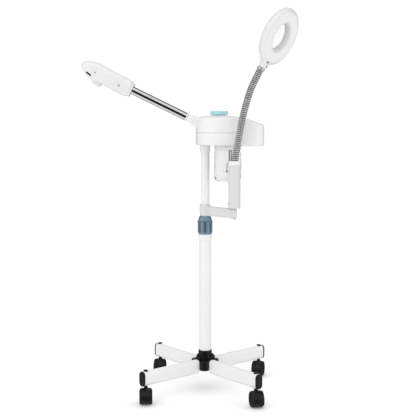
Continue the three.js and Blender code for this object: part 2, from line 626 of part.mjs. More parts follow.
function fillerCapShape() {
  const { radius, bottom, top } = CAP;
  const knurls = 12;
  const low = bottom + 1;
  const body = turned([[0, bottom + 7], [22.6, bottom + 7], [22.6, low], [radius, low], [radius, top - 3],
    [radius - 3, top], [0, top]], FINE);
  const plug = disc(13, bottom - 8, bottom + 8, ROUND);
  const groove = prism(circle(2, 6, radius + 0.9, 0), low + 2, top + 1);
  const grooves = Array.from({ length: knurls }, (_, i) => groove.rotate([0, 0, (360 * i) / knurls]));
  return cut(join(body, plug), ...grooves);
}

const filler = new THREE.Group();
filler.position.x = CAP.x;
head.add(filler);
add(filler, 'filler_neck', neckFunnelShape(), whitePlastic);
add(filler, 'filler_cap', fillerCapShape(), aqua);

function jarShape() {
  const { radius, bottom, shoulder, neck, top, wall } = JAR;
  return turned([[0, bottom], [radius - 13, bottom], [radius - 4, bottom + 4], [radius - 0.8, bottom + 12],
    [radius, bottom + 30], [radius, shoulder - 5], [neck + 1, shoulder], [neck, shoulder + 1], [neck, top],
    [neck - wall, top], [neck - wall, shoulder], [radius - wall, shoulder - 7], [radius - wall, bottom + 30],
    [radius - wall - 0.8, bottom + 13], [radius - wall - 4, bottom + 7], [radius - 15, bottom + wall],
    [0, bottom + wall]], FINE);
}

function jarCollarShape() {
  const { neck, shoulder } = JAR;
  return ring(neck + GAP, neck + 3.6, shoulder + 1.3, DRUM.bottom - GAP, FINE);
}

add(jarGroup, 'water_jar', jarShape(), clearGlass);
add(jarGroup, 'jar_collar', jarCollarShape(), whitePlastic);

// Controls on the back of the right-hand lobe: two rockers and the mains inlet.
function rockerShape() {
  const half = ROCKER.length / 2;
  const wedge = vectors([[-half, -4.5], [half, -4.5], [half, 0], [0, -1.4], [-half, 2.2]]);
  return prism(wedge, -ROCKER.height / 2, ROCKER.height / 2);
}

function inletShape() {
  const face = LOBE.half;
  const flange = plate(roundedRectangle(33, 25, 2, 2), face + GAP, face + 2.2);
  const body = plate(roundedRectangle(27.2, 19.2, 1.6, 2), face - 14, face + 1);
  const pocket = plate(roundedRectangle(22, 14, 1.5, 2), face - 12, face + 3);
  const pins = [-6, 0, 6].map((x, i) => plate(roundedRectangle(1.6, 3, 0.4, 1), face - 13, face - 1)
    .translate([x, 0, i === 1 ? 1.8 : -0.4]));
  return join(cut(join(flange, body), pocket), ...pins).translate([INLET.x, 0, INLET.z]);
}

['steam_switch', 'ozone_switch'].forEach((name, i) => {
  const rocker = add(head, name, rockerShape(), blackPlastic);
  rocker.position.set(ROCKER.x, LOBE.half, ROCKER.places[i]);
});
add(head, 'power_inlet', inletShape(), blackPlastic);

// ---------------------------------------------------------------- steam arm
// The arm's own frame: the elbow pin at its origin, +X out along the tube.
steamArm.position.set(ELBOW.x, 0, ELBOW.z);
steamArm.rotation.set(0, (180 + ELBOW.slope) * DEG, 0);

function knuckleShape() {
  const { eye, half } = ELBOW;
  const { radius, start } = STEAM_TUBE;
  const eyeDisc = crossPin(eye, -half, half, ROUND);
  const boss = bar(circle(radius + 1.8, ROUND), 4, start);
  const spigot = bar(circle(radius - 2, ROUND), start - 1, start + 20);
  const earRoom = disc(ELBOW.ear + 2 * GAP, half + GAP, half + 20, FINE);
  const sides = [-90, 90].map((turn) => earRoom.rotate([turn, 0, 0]));
  const pinHole = crossPin(3.4, -half - 1, half + 1, SMALL);
  const steamWay = bar(circle(5, SMALL), 0, start + 22);
  return cut(join(eyeDisc, cut(boss, ...sides), spigot), pinHole, steamWay);
}

function elbowPinShape() {
  const ends = 15;
  return join(crossPin(3, -ends - 1, ends + 1, SMALL), crossPin(8, -ends - 2.6, -ends - GAP, ROUND),
    crossPin(6, ends + GAP, ends + 2.6, 6));
}

function steamTubeShape() {
  const { radius, wall, start, end } = STEAM_TUBE;
  return bar(circle(radius, ROUND), start + GAP, end, [circle(radius - wall, ROUND)]);
}

const elbowPin = add(head, 'elbow_pin', elbowPinShape(), whitePlastic);
elbowPin.position.set(ELBOW.x, 0, ELBOW.z);
add(steamArm, 'elbow_knuckle', knuckleShape(), whitePlastic);
add(steamArm, 'steam_tube', steamTubeShape(), chrome);

// ---------------------------------------------------------------- nozzle head
// The head's own frame: the pivot screw at its origin, +X towards the tip, +Z up.
nozzle.position.set(NOZZLE.x, 0, NOZZLE.z);
nozzle.rotation.set(0, 0, Math.PI);
const nozzleTilt = new THREE.Group();
nozzleTilt.rotation.set(0, -NOZZLE.slope * DEG, 0);
nozzle.add(nozzleTilt);

const NOZZLE_OUTLINE = vectors([[-41, -4], [-37, -14.5], [-27, -23], [10, -23], [47, -22], [84, -24],
  [101, -24.6],
  [115, -17.5], [131, -8], [140, 2], [140, 9], [134, 17], [124, 23.5], [108, 31], [94, 34.5], [78, 34.5],
  [47, 32], [0, 33], [-25, 34], [-33, 30.5], [-37, 20], [-40, 8]]);
const NOZZLE_MID_Z = 5;
const NOZZLE_MID_X = 50;
const NOZZLE_REACH = 91;
const NOZZLE_RISE = 28.5;
const CORE_SLOT = { x: 102, z: -12, length: 19, height: 5.4 };
const SPOUT = [[51.6, -15], [51.8, -28], [55, -35.5], [60, -36.8], [75, -34.2], [88, -27], [88.6, -15]];

function nozzleLayer(shrink, depth) {
  const mid = new THREE.Vector2(NOZZLE_MID_X, NOZZLE_MID_Z);
  const spread = new THREE.Vector2(1 - shrink / NOZZLE_REACH, 1 - shrink / NOZZLE_RISE);
  const points = NOZZLE_OUTLINE.map((point) => point.clone().sub(mid).multiply(spread).add(mid));
  return plate(points, -depth, depth);
}

function nozzleBody(inset) {
  const half = NOZZLE.half - inset;
  const edges = join(nozzleLayer(inset, half - 12), nozzleLayer(inset + 2.5, half - 6));
  return join(edges, nozzleLayer(inset + 7, half));
}

function corePlate(grow, reach) {
  const { x, z, length, height } = CORE_SLOT;
  return plate(roundedRectangle(length + grow, height + grow, (height + grow) / 2 - 0.1), -reach, reach)
    .rotate([0, -10, 0]).translate([x, 0, z]);
}

function box(low, high) {
  const size = high.map((value, k) => value - low[k]);
  return solid(new THREE.BoxGeometry(...size)).translate(low.map((value, k) => value + size[k] / 2));
}

function nozzleHalf(side) {
  const body = cut(nozzleBody(0), nozzleBody(NOZZLE.wall));
  const keep = side < 0 ? box([-80, -60, -80], [200, -GAP / 2, 80]) : box([-80, GAP / 2, -80], [200, 60, 80]);
  const mouth = box([-60, -20, -16], [-20, 20, 26.5]);
  const screwHole = crossPin(3.4, -60, 60);
  const spoutHole = box([51, -9, -40], [89.2, 9, -14]);
  return cut(body, mouth, screwHole, corePlate(2 * GAP, 60), spoutHole).intersect(keep);
}

function spoutShape() {
  const tube = plate(vectors(SPOUT), -8.6, 8.6);
  return cut(tube, box([55, -6.4, -40], [84, 6.4, -10]));
}

function nozzleScrewShape() {
  const half = NOZZLE.half;
  return join(crossPin(3, -half - 1, half + 1), crossPin(6, -half - 2, -half - GAP, ROUND),
    crossPin(6, half + GAP, half + 2, ROUND));
}

// Sleeve on the end of the steam tube, with the eye that the head tilts on, in the arm's frame.
function nozzleStemShape() {
  const { along, below } = NOZZLE;
  const { radius, end, collar } = STEAM_TUBE;
  const sleeve = bar(circle(radius + 2.2, ROUND), collar, end + 4);
  const eye = plate(circle(14, ROUND, along, below), -8, 8);
  const link = box([end, -8, -9], [along, 8, 15]);
  const bore = bar(circle(radius + GAP, ROUND), collar - 1, end + GAP);
  const pinHole = crossPin(3.4, -10, 10).translate([along, 0, below]);
  const steamWay = bar(circle(4, SMALL), end - 1, along + 20).translate([0, 0, -4]);
  return cut(join(sleeve, eye, link), bore, pinHole, steamWay);
}

add(nozzleTilt, 'nozzle_front_shell', nozzleHalf(1), whitePlastic);
add(nozzleTilt, 'nozzle_rear_shell', nozzleHalf(-1), whitePlastic);
add(nozzleTilt, 'nozzle_core', corePlate(0, NOZZLE.half - 1), blackPlastic);
add(nozzleTilt, 'nozzle_spout', spoutShape(), frosted);
add(nozzleTilt, 'nozzle_pivot_screw', nozzleScrewShape(), whitePlastic);
add(steamArm, 'nozzle_stem', nozzleStemShape(), whitePlastic);

machine.updateMatrixWorld(true);
const bounds = new THREE.Box3().setFromObject(machine, true);
const middle = bounds.getCenter(new THREE.Vector3());
machine.position.set(-middle.x, -middle.y, -bounds.min.z);

const facialSteamer = new THREE.Group();
facialSteamer.add(machine);
export default facialSteamer;
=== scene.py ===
"""A white facial steamer on a rolling stand with a ring magnifying lamp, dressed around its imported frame.
Lengths are in millimetres from the column's axis at floor level, and become metres in place()."""
import json
import math

import bmesh
import bpy
from mathutils import Matrix, Vector


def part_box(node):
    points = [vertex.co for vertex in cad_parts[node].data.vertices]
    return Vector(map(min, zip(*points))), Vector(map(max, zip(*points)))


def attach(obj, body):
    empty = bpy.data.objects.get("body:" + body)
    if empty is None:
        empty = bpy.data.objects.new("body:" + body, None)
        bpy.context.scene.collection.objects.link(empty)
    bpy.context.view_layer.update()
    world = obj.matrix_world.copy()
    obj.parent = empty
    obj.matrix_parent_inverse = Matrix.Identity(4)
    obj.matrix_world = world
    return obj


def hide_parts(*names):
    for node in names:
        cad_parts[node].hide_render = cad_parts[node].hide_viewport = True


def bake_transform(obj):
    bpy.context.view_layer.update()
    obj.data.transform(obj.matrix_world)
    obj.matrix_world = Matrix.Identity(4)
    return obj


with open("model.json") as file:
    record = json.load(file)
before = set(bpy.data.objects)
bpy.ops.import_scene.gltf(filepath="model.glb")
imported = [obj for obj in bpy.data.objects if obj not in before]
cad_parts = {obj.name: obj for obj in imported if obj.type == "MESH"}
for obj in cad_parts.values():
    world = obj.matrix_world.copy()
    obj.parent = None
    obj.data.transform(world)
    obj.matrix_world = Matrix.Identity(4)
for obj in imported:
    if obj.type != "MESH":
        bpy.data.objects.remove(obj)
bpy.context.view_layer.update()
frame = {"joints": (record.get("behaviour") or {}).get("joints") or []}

MM = 0.001
JOINTS = {joint["name"]: joint for joint in frame["joints"]}
low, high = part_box("lower_tube")
POLE = (low + high) / 2
POLE.z = 0


# ------------------------------------------------------------ places
def place(x=0.0, y=0.0, z=0.0, turn=None):
    """Millimetres in a local frame to metres in the row's frame."""
    spot = Matrix.Translation(POLE + Vector((x, y, z)) * MM)
    return spot @ (turn.to_4x4() if turn else Matrix.Identity(4)) @ Matrix.Scale(MM, 4)


def spin(angle, axis="Z"):
    return Matrix.Rotation(math.radians(angle), 3, axis)


def basis(x, y, z):
    return Matrix((x, y, z)).transposed()


def joint_spot(name):
    """A hinge's point in millimetres from the column's axis."""
    return (Vector(JOINTS[name]["pos_m"]) - POLE) / MM


def height_of(node):
    lowest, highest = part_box(node)
    return lowest.z / MM, highest.z / MM


# ------------------------------------------------------------ outlines
def fillet(points, closed=True, steps=6):
    """Rounds the corners of an outline; a point is (x, y) or (x, y, corner radius)."""
    out = []
    count = len(points)
    for i, point in enumerate(points):
        corner = Vector(point[:2])
        radius = point[2] if len(point) > 2 else 0
        if radius == 0 or (not closed and i in (0, count - 1)):
            out.append(corner)
            continue
        back = Vector(points[i - 1][:2]) - corner
        ahead = Vector(points[(i + 1) % count][:2]) - corner
        half = back.angle(ahead) / 2
        if half > 1.55:
            out.append(corner)
            continue
        reach = min(radius / math.tan(half), 0.49 * back.length, 0.49 * ahead.length)
        radius = reach * math.tan(half)
        centre = corner + (back.normalized() + ahead.normalized()).normalized() * (radius / math.sin(half))
        first = corner + back.normalized() * reach - centre
        last = corner + ahead.normalized() * reach - centre
        sweep = first.angle_signed(last)
        for k in range(steps + 1):
            turn = -sweep * k / steps
            out.append(centre + Matrix.Rotation(turn, 2) @ first)
    return out


def rounded_box(width, height, corner, steps=6):
    w, h = width / 2, height / 2
    return fillet([(w, -h, corner), (w, h, corner), (-w, h, corner), (-w, -h, corner)], steps=steps)


def circle(radius, sides=48, x=0.0, y=0.0):
    turns = [2 * math.pi * i / sides for i in range(sides)]
    return [Vector((x + radius * math.cos(t), y + radius * math.sin(t))) for t in turns]


def inset(outline, amount):
    """Moves an outline's points inward along their normals; the outline runs anticlockwise."""
    out = []
    count = len(outline)
    for i, point in enumerate(outline):
        along = (outline[(i + 1) % count] - outline[i - 1]).normalized()
        out.append(point + Vector((-along.y, along.x)) * amount)
    return out


# ------------------------------------------------------------ shapes
class Shape:
    """Vertices and faces in local millimetres."""

    def __init__(self):
        self.verts = []
        self.faces = []

    def loop(self, points):
        start = len(self.verts)
        self.verts.extend(points)
        return list(range(start, start + len(points)))

    def ring(self, radius, z, sides):
        return self.loop([Vector((p.x, p.y, z)) for p in circle(radius, sides)])

    def bridge(self, a, b, closed=True):
        count = len(a)
        for i in range(count if closed else count - 1):
            j = (i + 1) % count
            self.faces.append((a[i], a[j], b[j], b[i]))

    def skin(self, rings, closed=True, ends=False):
        """Faces from each ring to the next, and over both ends where they are closed."""
        for a, b in zip(rings, rings[1:]):
            self.bridge(a, b, closed)
        if ends:
            self.faces += [tuple(reversed(rings[0])), tuple(rings[-1])]
        return self

    def add(self, other, turn=None, shift=(0, 0, 0)):
        start = len(self.verts)
        move = Vector(shift)
        self.verts.extend((turn @ v if turn else v) + move for v in other.verts)
        self.faces.extend(tuple(start + k for k in face) for face in other.faces)
        return self


def turned(profile, sides=64, closed=False):
    """A profile of (radius, z) points turned about Z. Points on the axis become poles."""
    shape = Shape()
    rings = []
    for r, z in profile:
        if r < 1e-6:
            rings.append(shape.loop([Vector((0, 0, z))]))
        else:
            rings.append(shape.ring(r, z, sides))
    pairs = list(zip(rings, rings[1:])) + ([(rings[-1], rings[0])] if closed else [])
    for a, b in pairs:
        if len(a) == 1 and len(b) == 1:
            continue
        if len(a) == 1:
            shape.faces.extend((a[0], b[(k + 1) % sides], b[k]) for k in range(sides))
        elif len(b) == 1:
            shape.faces.extend((b[0], a[k], a[(k + 1) % sides]) for k in range(sides))
        else:
            shape.bridge(a, b)
    return shape


def solid(points, sides):
    """A solid turned from fillet() points that start and end on the axis."""
    return turned(fillet(points, closed=False), sides)


def tube(points, sides):
    """A tube turned from a closed outline of fillet() points."""
    return turned(fillet(points), sides, closed=True)


def moved(shape, x=0.0, y=0.0, z=0.0):
    return Shape().add(shape, shift=(x, y, z))


def raised(outline, rise):
    return [Vector((p.x, p.y + rise)) for p in outline]


def prism(outline, bottom, top, edge=0.0, steps=3):
    """An outline in X and Y pushed up from bottom to top, with rounded edges."""
    shape = Shape()
    levels = [(0.0, bottom), (0.0, top)]
    if edge:
        turns = [0.5 * math.pi * k / steps for k in range(steps + 1)]
        levels = [(edge * (1 - math.sin(t)), bottom + edge * (1 - math.cos(t))) for t in turns]
        levels += [(edge * (1 - math.cos(t)), top - edge * (1 - math.sin(t))) for t in turns]
    rings = []
    for amount, z in levels:
        points = inset(outline, amount) if amount else outline
        rings.append(shape.loop([Vector((p.x, p.y, z)) for p in points]))
    return shape.skin(rings, ends=True)


UPRIGHT = basis(Vector((1, 0, 0)), Vector((0, 0, 1)), Vector((0, -1, 0)))    # X stays, Y becomes Z
ALONG = basis(Vector((0, 1, 0)), Vector((0, 0, 1)), Vector((1, 0, 0)))       # Z becomes X, X becomes Y
REARWARD = basis(Vector((1, 0, 0)), Vector((0, 0, -1)), Vector((0, 1, 0)))   # X stays, Z becomes Y


def plate(outline, front, back, edge=0.0, steps=3):
    """An outline in X and Z, from Y = front to Y = back."""
    return Shape().add(prism(outline, -back, -front, edge, steps), UPRIGHT)


def bar(outline, start, end, edge=0.0, steps=3):
    """An outline across X (Y wide, Z high), from X = start to X = end."""
    return Shape().add(prism(outline, start, end, edge, steps), ALONG)


def rod(radius, start, end, axis="Z", edge=0.0, sides=48):
    shape = prism(circle(radius, sides), start, end, edge)
    if axis == "Z":
        return shape
    return Shape().add(shape, ALONG if axis == "X" else REARWARD)


def swept(points, section):
    """A closed section, or section(k, distance) at each point k, carried along a path of vectors."""
    shape = Shape()
    rings = []
    tangents = [(points[min(i + 1, len(points) - 1)] - points[max(i - 1,
            0)]).normalized() for i in range(len(points))]
    side = tangents[0].orthogonal().normalized()
    if abs(tangents[0].y) < 0.9:
        side = Vector((0, 1, 0)).cross(tangents[0]).normalized()
    travelled = 0.0
    for i, (point, tangent) in enumerate(zip(points, tangents)):
        if i:
            travelled += (point - points[i - 1]).length
        side = (side - tangent * side.dot(tangent)).normalized()
        up = tangent.cross(side)
        outline = section(i, travelled) if callable(section) else section
        rings.append(shape.loop([point + side * p[0] + up * p[1] for p in outline]))
    return shape.skin(rings, ends=True)


def spline(points, per_span=10):
    """A Catmull-Rom curve through the points."""
    ends = [points[0] * 2 - points[1]] + points + [points[-1] * 2 - points[-2]]
    out = []
    for i in range(1, len(ends) - 2):
        p0, p1, p2, p3 = ends[i - 1:i + 3]
        for k in range(per_span):
            t = k / per_span
            straight = 2 * p1 + (p2 - p0) * t
            curved = (2 * p0 - 5 * p1 + 4 * p2 - p3) * t * t
            out.append(0.5 * (straight + curved + (3 * p1 - p0 - 3 * p2 + p3) * t ** 3))
    return out + [points[-1]]


# ------------------------------------------------------------ pieces
def build_mesh(name, shape, spot):
    mesh = bpy.data.meshes.new(name)
    mesh.from_pydata([spot @ v for v in shape.verts], [], shape.faces)
    tidy = bmesh.new()
    tidy.from_mesh(mesh)
    bmesh.ops.remove_doubles(tidy, verts=tidy.verts, dist=1e-6)
    bmesh.ops.recalc_face_normals(tidy, faces=tidy.faces)
    middle = sum((v.co for v in tidy.verts), Vector()) / len(tidy.verts)
    outward = sum((f.calc_center_median() - middle).dot(f.normal) * f.calc_area() for f in tidy.faces)
    if outward < 0 and any(edge.is_boundary for edge in tidy.edges):
        bmesh.ops.reverse_faces(tidy, faces=tidy.faces)
    tidy.to_mesh(mesh)
    tidy.free()
    obj = bpy.data.objects.new(name, mesh)
    bpy.context.scene.collection.objects.link(obj)
    return obj


def settle(obj, sharp=30):
    """Applies an object's modifiers to its mesh and shades it smooth, with sharp edges kept."""
    if obj.modifiers:
        bpy.context.view_layer.update()
        done = bpy.data.meshes.new_from_object(obj.evaluated_get(bpy.context.evaluated_depsgraph_get()))
        obj.modifiers.clear()
        obj.data = done
    obj.data.shade_smooth()
    obj.data.set_sharp_from_angle(angle=math.radians(sharp))


def piece(name, shape, spot, material, body, replaces=(), cuts=(), sharp=30, bevel=0.0, thick=0.0):
    """One visible piece: its mesh, finish, body and the CAD nodes it stands for."""
    obj = build_mesh(name, shape, spot)
    if thick:
        wall = obj.modifiers.new("wall", "SOLIDIFY")
        wall.thickness = thick * MM
        wall.offset = -1
        wall.use_even_offset = True
    tools = []
    for i, cutter in enumerate(cuts):
        tool = build_mesh(f"{name}_cut_{i}", cutter, spot)
        carve = obj.modifiers.new(f"cut_{i}", "BOOLEAN")
        carve.operation = "DIFFERENCE"
        carve.solver = "EXACT"
        carve.object = tool
        tools.append(tool)
    if bevel:
        soft = obj.modifiers.new("bevel", "BEVEL")
        soft.width = bevel * MM
        soft.segments = 2
        soft.limit_method = "ANGLE"
        soft.angle_limit = math.radians(40)
        soft.harden_normals = False
    settle(obj, sharp)
    for tool in tools:
        bpy.data.objects.remove(tool)
    obj.data.materials.clear()
    obj.data.materials.append(material)
    if body:
        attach(obj, body)
    if replaces:
        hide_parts(*replaces)
    return obj


# ------------------------------------------------------------ materials
def principled(name, color, roughness, metallic=0.0, coat=0.0, specular=0.5):
    material = bpy.data.materials.new(name)
    material.use_nodes = True
    shader = material.node_tree.nodes["Principled BSDF"]
    shader.inputs["Base Color"].default_value = (*color, 1)
    shader.inputs["Roughness"].default_value = roughness
    shader.inputs["Metallic"].default_value = metallic
    shader.inputs["Coat Weight"].default_value = coat
    shader.inputs["Coat Roughness"].default_value = 0.08
    shader.inputs["Specular IOR Level"].default_value = specular
    return material, shader


def noise(material, scale, detail=3.0, stretch=(1, 1, 1)):
    nodes, links = material.node_tree.nodes, material.node_tree.links
    spots = nodes.new("ShaderNodeTexCoord")
    mapping = nodes.new("ShaderNodeMapping")
    mapping.inputs["Scale"].default_value = stretch
    texture = nodes.new("ShaderNodeTexNoise")
    texture.inputs["Scale"].default_value = scale
    texture.inputs["Detail"].default_value = detail
    links.new(spots.outputs["Object"], mapping.inputs["Vector"])
    links.new(mapping.outputs["Vector"], texture.inputs["Vector"])
    return texture


def vary_colour(material, shader, texture, dark, light):
    """Colour between dark and light by a texture."""
    nodes, links = material.node_tree.nodes, material.node_tree.links
    ramp = nodes.new("ShaderNodeValToRGB")
    ramp.color_ramp.elements[0].position = 0.3
    ramp.color_ramp.elements[1].position = 0.7
    ramp.color_ramp.elements[0].color = (*dark, 1)
    ramp.color_ramp.elements[1].color = (*light, 1)
    links.new(texture.outputs["Fac"], ramp.inputs["Fac"])
    links.new(ramp.outputs["Color"], shader.inputs["Base Color"])


def vary_roughness(material, shader, texture, smooth, rough):
    nodes, links = material.node_tree.nodes, material.node_tree.links
    span = nodes.new("ShaderNodeMapRange")
    span.inputs["From Min"].default_value = 0.3
    span.inputs["From Max"].default_value = 0.7
    span.inputs["To Min"].default_value = smooth
    span.inputs["To Max"].default_value = rough
    links.new(texture.outputs["Fac"], span.inputs["Value"])
    links.new(span.outputs["Result"], shader.inputs["Roughness"])


def bump(material, shader, texture, depth, strength=0.4):
    nodes, links = material.node_tree.nodes, material.node_tree.links
    bumps = nodes.new("ShaderNodeBump")
    bumps.inputs["Strength"].default_value = strength
    bumps.inputs["Distance"].default_value = depth
    links.new(texture.outputs["Fac"], bumps.inputs["Height"])
    links.new(bumps.outputs["Normal"], shader.inputs["Normal"])


def moulded_white(name="white_plastic", tone=0.86):
    """Glossy ABS: faint flow marks in the colour, slight haze in the gloss."""
    material, shader = principled(name, (tone, tone, tone), 0.3, coat=0.15)
    vary_colour(material, shader, noise(material, 9), (tone - 0.012, tone - 0.012, tone - 0.018),
            (tone + 0.01, tone + 0.01, tone + 0.008))
    vary_roughness(material, shader, noise(material, 30), 0.27, 0.35)
    bump(material, shader, noise(material, 1400, 2), 0.00003, 0.25)
    return material


def powder_coat(name, tone):
    """Satin powder coat: a fine orange peel."""
    material, shader = principled(name, (tone, tone, tone * 0.995), 0.38)
    vary_colour(material, shader, noise(material, 14), [tone * 0.975] * 3, [tone * 1.01] * 3)
    vary_roughness(material, shader, noise(material, 60), 0.34, 0.44)
    bump(material, shader, noise(material, 420, 2), 0.00008, 0.35)
    return material


def grained_black(name="black_plastic", tone=0.006, roughness=0.4):
    """Black nylon with a spark-eroded grain and lighter scuffs."""
    material, shader = principled(name, (tone, tone, tone * 1.08), roughness, specular=0.3)
    vary_colour(material, shader, noise(material, 40, 5), [tone * 0.7] * 3, [tone * 1.7] * 3)
    vary_roughness(material, shader, noise(material, 90), roughness - 0.08, roughness + 0.12)
    bump(material, shader, noise(material, 900, 3), 0.00006, 0.5)
    return material


def satin_blue(name, tone):
    color = Vector((0.62, 0.96, 1.24)) * tone
    material, shader = principled(name, color, 0.34, metallic=0.25)
    vary_colour(material, shader, noise(material, 60, 4), color * 0.93, color * 1.07)
    vary_roughness(material, shader, noise(material, 120), 0.3, 0.4)
    bump(material, shader, noise(material, 1100, 3), 0.00005, 0.4)
    return material


def pale_aqua():
    material, shader = principled("aqua_plastic", (0.40, 0.74, 0.77), 0.35)
    shader.inputs["Subsurface Weight"].default_value = 0.15
    shader.inputs["Subsurface Radius"].default_value = (0.002, 0.003, 0.003)
    vary_colour(material, shader, noise(material, 70, 4), (0.38, 0.71, 0.74), (0.43, 0.77, 0.80))
    bump(material, shader, noise(material, 900, 2), 0.00004, 0.3)
    return material


def chrome_plate():
    material, shader = principled("chrome", (0.86, 0.86, 0.87), 0.04, metallic=1.0)
    vary_roughness(material, shader, noise(material, 8), 0.025, 0.07)
    return material


def brushed(name, tone, roughness=0.32):
    material, shader = principled(name, (tone, tone, tone * 0.985), roughness, metallic=1.0)
    vary_colour(material, shader, noise(material, 120, 4), [tone * 0.82] * 3, [tone * 1.15] * 3)
    vary_roughness(material, shader, noise(material, 260), roughness - 0.08, roughness + 0.14)
    bump(material, shader, noise(material, 1500, 2), 0.00003, 0.4)
    return material


def clear_glass(name="clear_glass", tone=0.988, clarity=1.0):
    material, shader = principled(name, (tone, tone, tone), 0.01)
    shader.inputs["Transmission Weight"].default_value = clarity
    shader.inputs["IOR"].default_value = 1.46
    vary_roughness(material, shader, noise(material, 20), 0.0, 0.03)
    return material


def frosted(name, tone, clarity, painted_glow=0.0):
    material, shader = principled(name, (tone, tone, tone), 0.5)
    shader.inputs["Transmission Weight"].default_value = clarity
    # Any emission here is painted light that brightens the part; no lamp inside it is switched on.
    shader.inputs["Emission Color"].default_value = (1, 1, 1, 1)
    shader.inputs["Emission Strength"].default_value = painted_glow
    shader.inputs["Subsurface Weight"].default_value = 0.3
    shader.inputs["Subsurface Radius"].default_value = (0.004, 0.004, 0.004)
    vary_roughness(material, shader, noise(material, 200), 0.42, 0.58)
    bump(material, shader, noise(material, 1600, 2), 0.00004, 0.4)
    return material


WHITE = moulded_white()
HEAD_WHITE = moulded_white("head_white", 0.8)
LAMP_WHITE = moulded_white("lamp_white", 0.8)
PAINT = powder_coat("white_paint", 0.85)
GREY_PAINT = powder_coat("grey_paint", 0.7)
BLACK = grained_black()
TREAD = grained_black("caster_tread", 0.007, 0.45)
BLUE = satin_blue("collar_blue", 0.27)
# A darker copy of the collar's blue: painted shade for the flute grooves, the ledge and the bottom edge.
BLUE_GROOVE_SHADE = satin_blue("collar_groove_shade", 0.12)
AQUA = pale_aqua()
CHROME = chrome_plate()
STEEL = brushed("dark_steel", 0.2)
SCREW_STEEL = brushed("screw_steel", 0.5)
NECK_METAL = brushed("gooseneck_metal", 0.88, 0.5)
# A dark copy of the gooseneck metal: painted shade for the grooves between the ribs.
NECK_GROOVE_SHADE = brushed("gooseneck_groove_shade", 0.2, 0.55)
GLASS = clear_glass()
JAR_GLASS = clear_glass("jar_glass", 0.98, 0.88)
FROST = frosted("frosted_plastic", 0.86, 0.15)
# Its faint emission is painted light brightening the diffuser's face; the lamp is not switched on.
DIFFUSER = frosted("lamp_diffuser", 0.86, 0.0, 0.03)


# ------------------------------------------------------------ camera, stage and light
AMBIENT = 0.72
DARK_ROOM = (0.0, -0.966, -0.259)      # the unlit side of the studio, towards the camera
ROOM = [(-1.0, 0.6), (-0.92, 0.12), (-0.75, 0.04), (-0.42, 0.1), (-0.1, 0.75), (0.72, 0.85), (0.85, 0.03),
        (1.0, 0.01)]
FLOOR_GLOW = 0.14
CAMERA_BACK = 2900.0
CAMERA_SIDE = 9.4
CAMERA_HIGH = 893.0
CAMERA_DOWN = 5.8
CAMERA_LENS = 77.9


def camera():
    data = bpy.data.cameras.new("camera")
    data.lens = CAMERA_LENS
    data.sensor_width = 36
    data.clip_end = 50
    obj = bpy.data.objects.new("camera", data)
    bpy.context.scene.collection.objects.link(obj)
    obj.location = POLE + Vector((CAMERA_SIDE, -CAMERA_BACK, CAMERA_HIGH)) * MM
    obj.rotation_euler = (math.radians(90 - CAMERA_DOWN), 0, 0)
    bpy.context.scene.camera = obj


def softbox(name, toward, strength, spread):
    """A far, wide light from a direction; mirrors do not show it."""
    data = bpy.data.lights.new(name, "SUN")
    data.energy = strength
    data.angle = math.radians(spread)
    obj = bpy.data.objects.new(name, data)
    obj.rotation_euler = Vector(toward).to_track_quat("Z", "Y").to_euler()
    obj.visible_glossy = False
    bpy.context.scene.collection.objects.link(obj)


def studio():
    scene = bpy.context.scene
    scene.view_settings.view_transform = "Standard"
    world = bpy.data.worlds.new("studio")
    scene.world = world
    world.use_nodes = True
    nodes, links = world.node_tree.nodes, world.node_tree.links
    background = nodes["Background"]
    aim = nodes.new("ShaderNodeTexCoord")
    toward = nodes.new("ShaderNodeVectorMath")
    toward.operation = "DOT_PRODUCT"
    toward.inputs[1].default_value = DARK_ROOM
    links.new(aim.outputs["Generated"], toward.inputs[0])
    span = nodes.new("ShaderNodeMapRange")
    span.inputs["From Min"].default_value = -1
    links.new(toward.outputs["Value"], span.inputs["Value"])
    ramp = nodes.new("ShaderNodeValToRGB")
    links.new(span.outputs["Result"], ramp.inputs["Fac"])
    stops = ramp.color_ramp.elements
    for _ in range(len(ROOM) - 2):
        stops.new(0.5)
    for stop, (position, value) in zip(stops, ROOM):
        stop.position = (position + 1) / 2
        stop.color = (value, value, value, 1)
    path = nodes.new("ShaderNodeLightPath")
    glossy = nodes.new("ShaderNodeMix")
    glossy.data_type = "RGBA"
    links.new(path.outputs["Is Glossy Ray"], glossy.inputs["Factor"])
    glossy.inputs["A"].default_value = (AMBIENT, AMBIENT, AMBIENT, 1)
    links.new(ramp.outputs["Color"], glossy.inputs["B"])
    seen = nodes.new("ShaderNodeMath")
    seen.operation = "MAXIMUM"
    links.new(path.outputs["Is Camera Ray"], seen.inputs[0])
    links.new(path.outputs["Is Transmission Ray"], seen.inputs[1])
    backdrop = nodes.new("ShaderNodeMix")
    backdrop.data_type = "RGBA"
    links.new(seen.outputs["Value"], backdrop.inputs["Factor"])
    links.new(glossy.outputs["Result"], backdrop.inputs["A"])
    backdrop.inputs["B"].default_value = (1.05, 1.05, 1.05, 1)
    links.new(backdrop.outputs["Result"], background.inputs["Color"])

    bpy.ops.mesh.primitive_plane_add(size=60, location=(0, 0, 0))
    floor = bpy.context.object
    floor.name = "floor"
    floor.visible_glossy = False
    material, shader = principled("floor", (0.9, 0.9, 0.9), 0.8, specular=0.0)
    shader.inputs["Emission Color"].default_value = (1, 1, 1, 1)
    shader.inputs["Emission Strength"].default_value = FLOOR_GLOW
    floor.data.materials.append(material)
    softbox("front", (-0.22, -0.8, 0.56), 0.75, 60)
    softbox("top", (0.1, 0.15, 1.0), 0.6, 80)


camera()
studio()


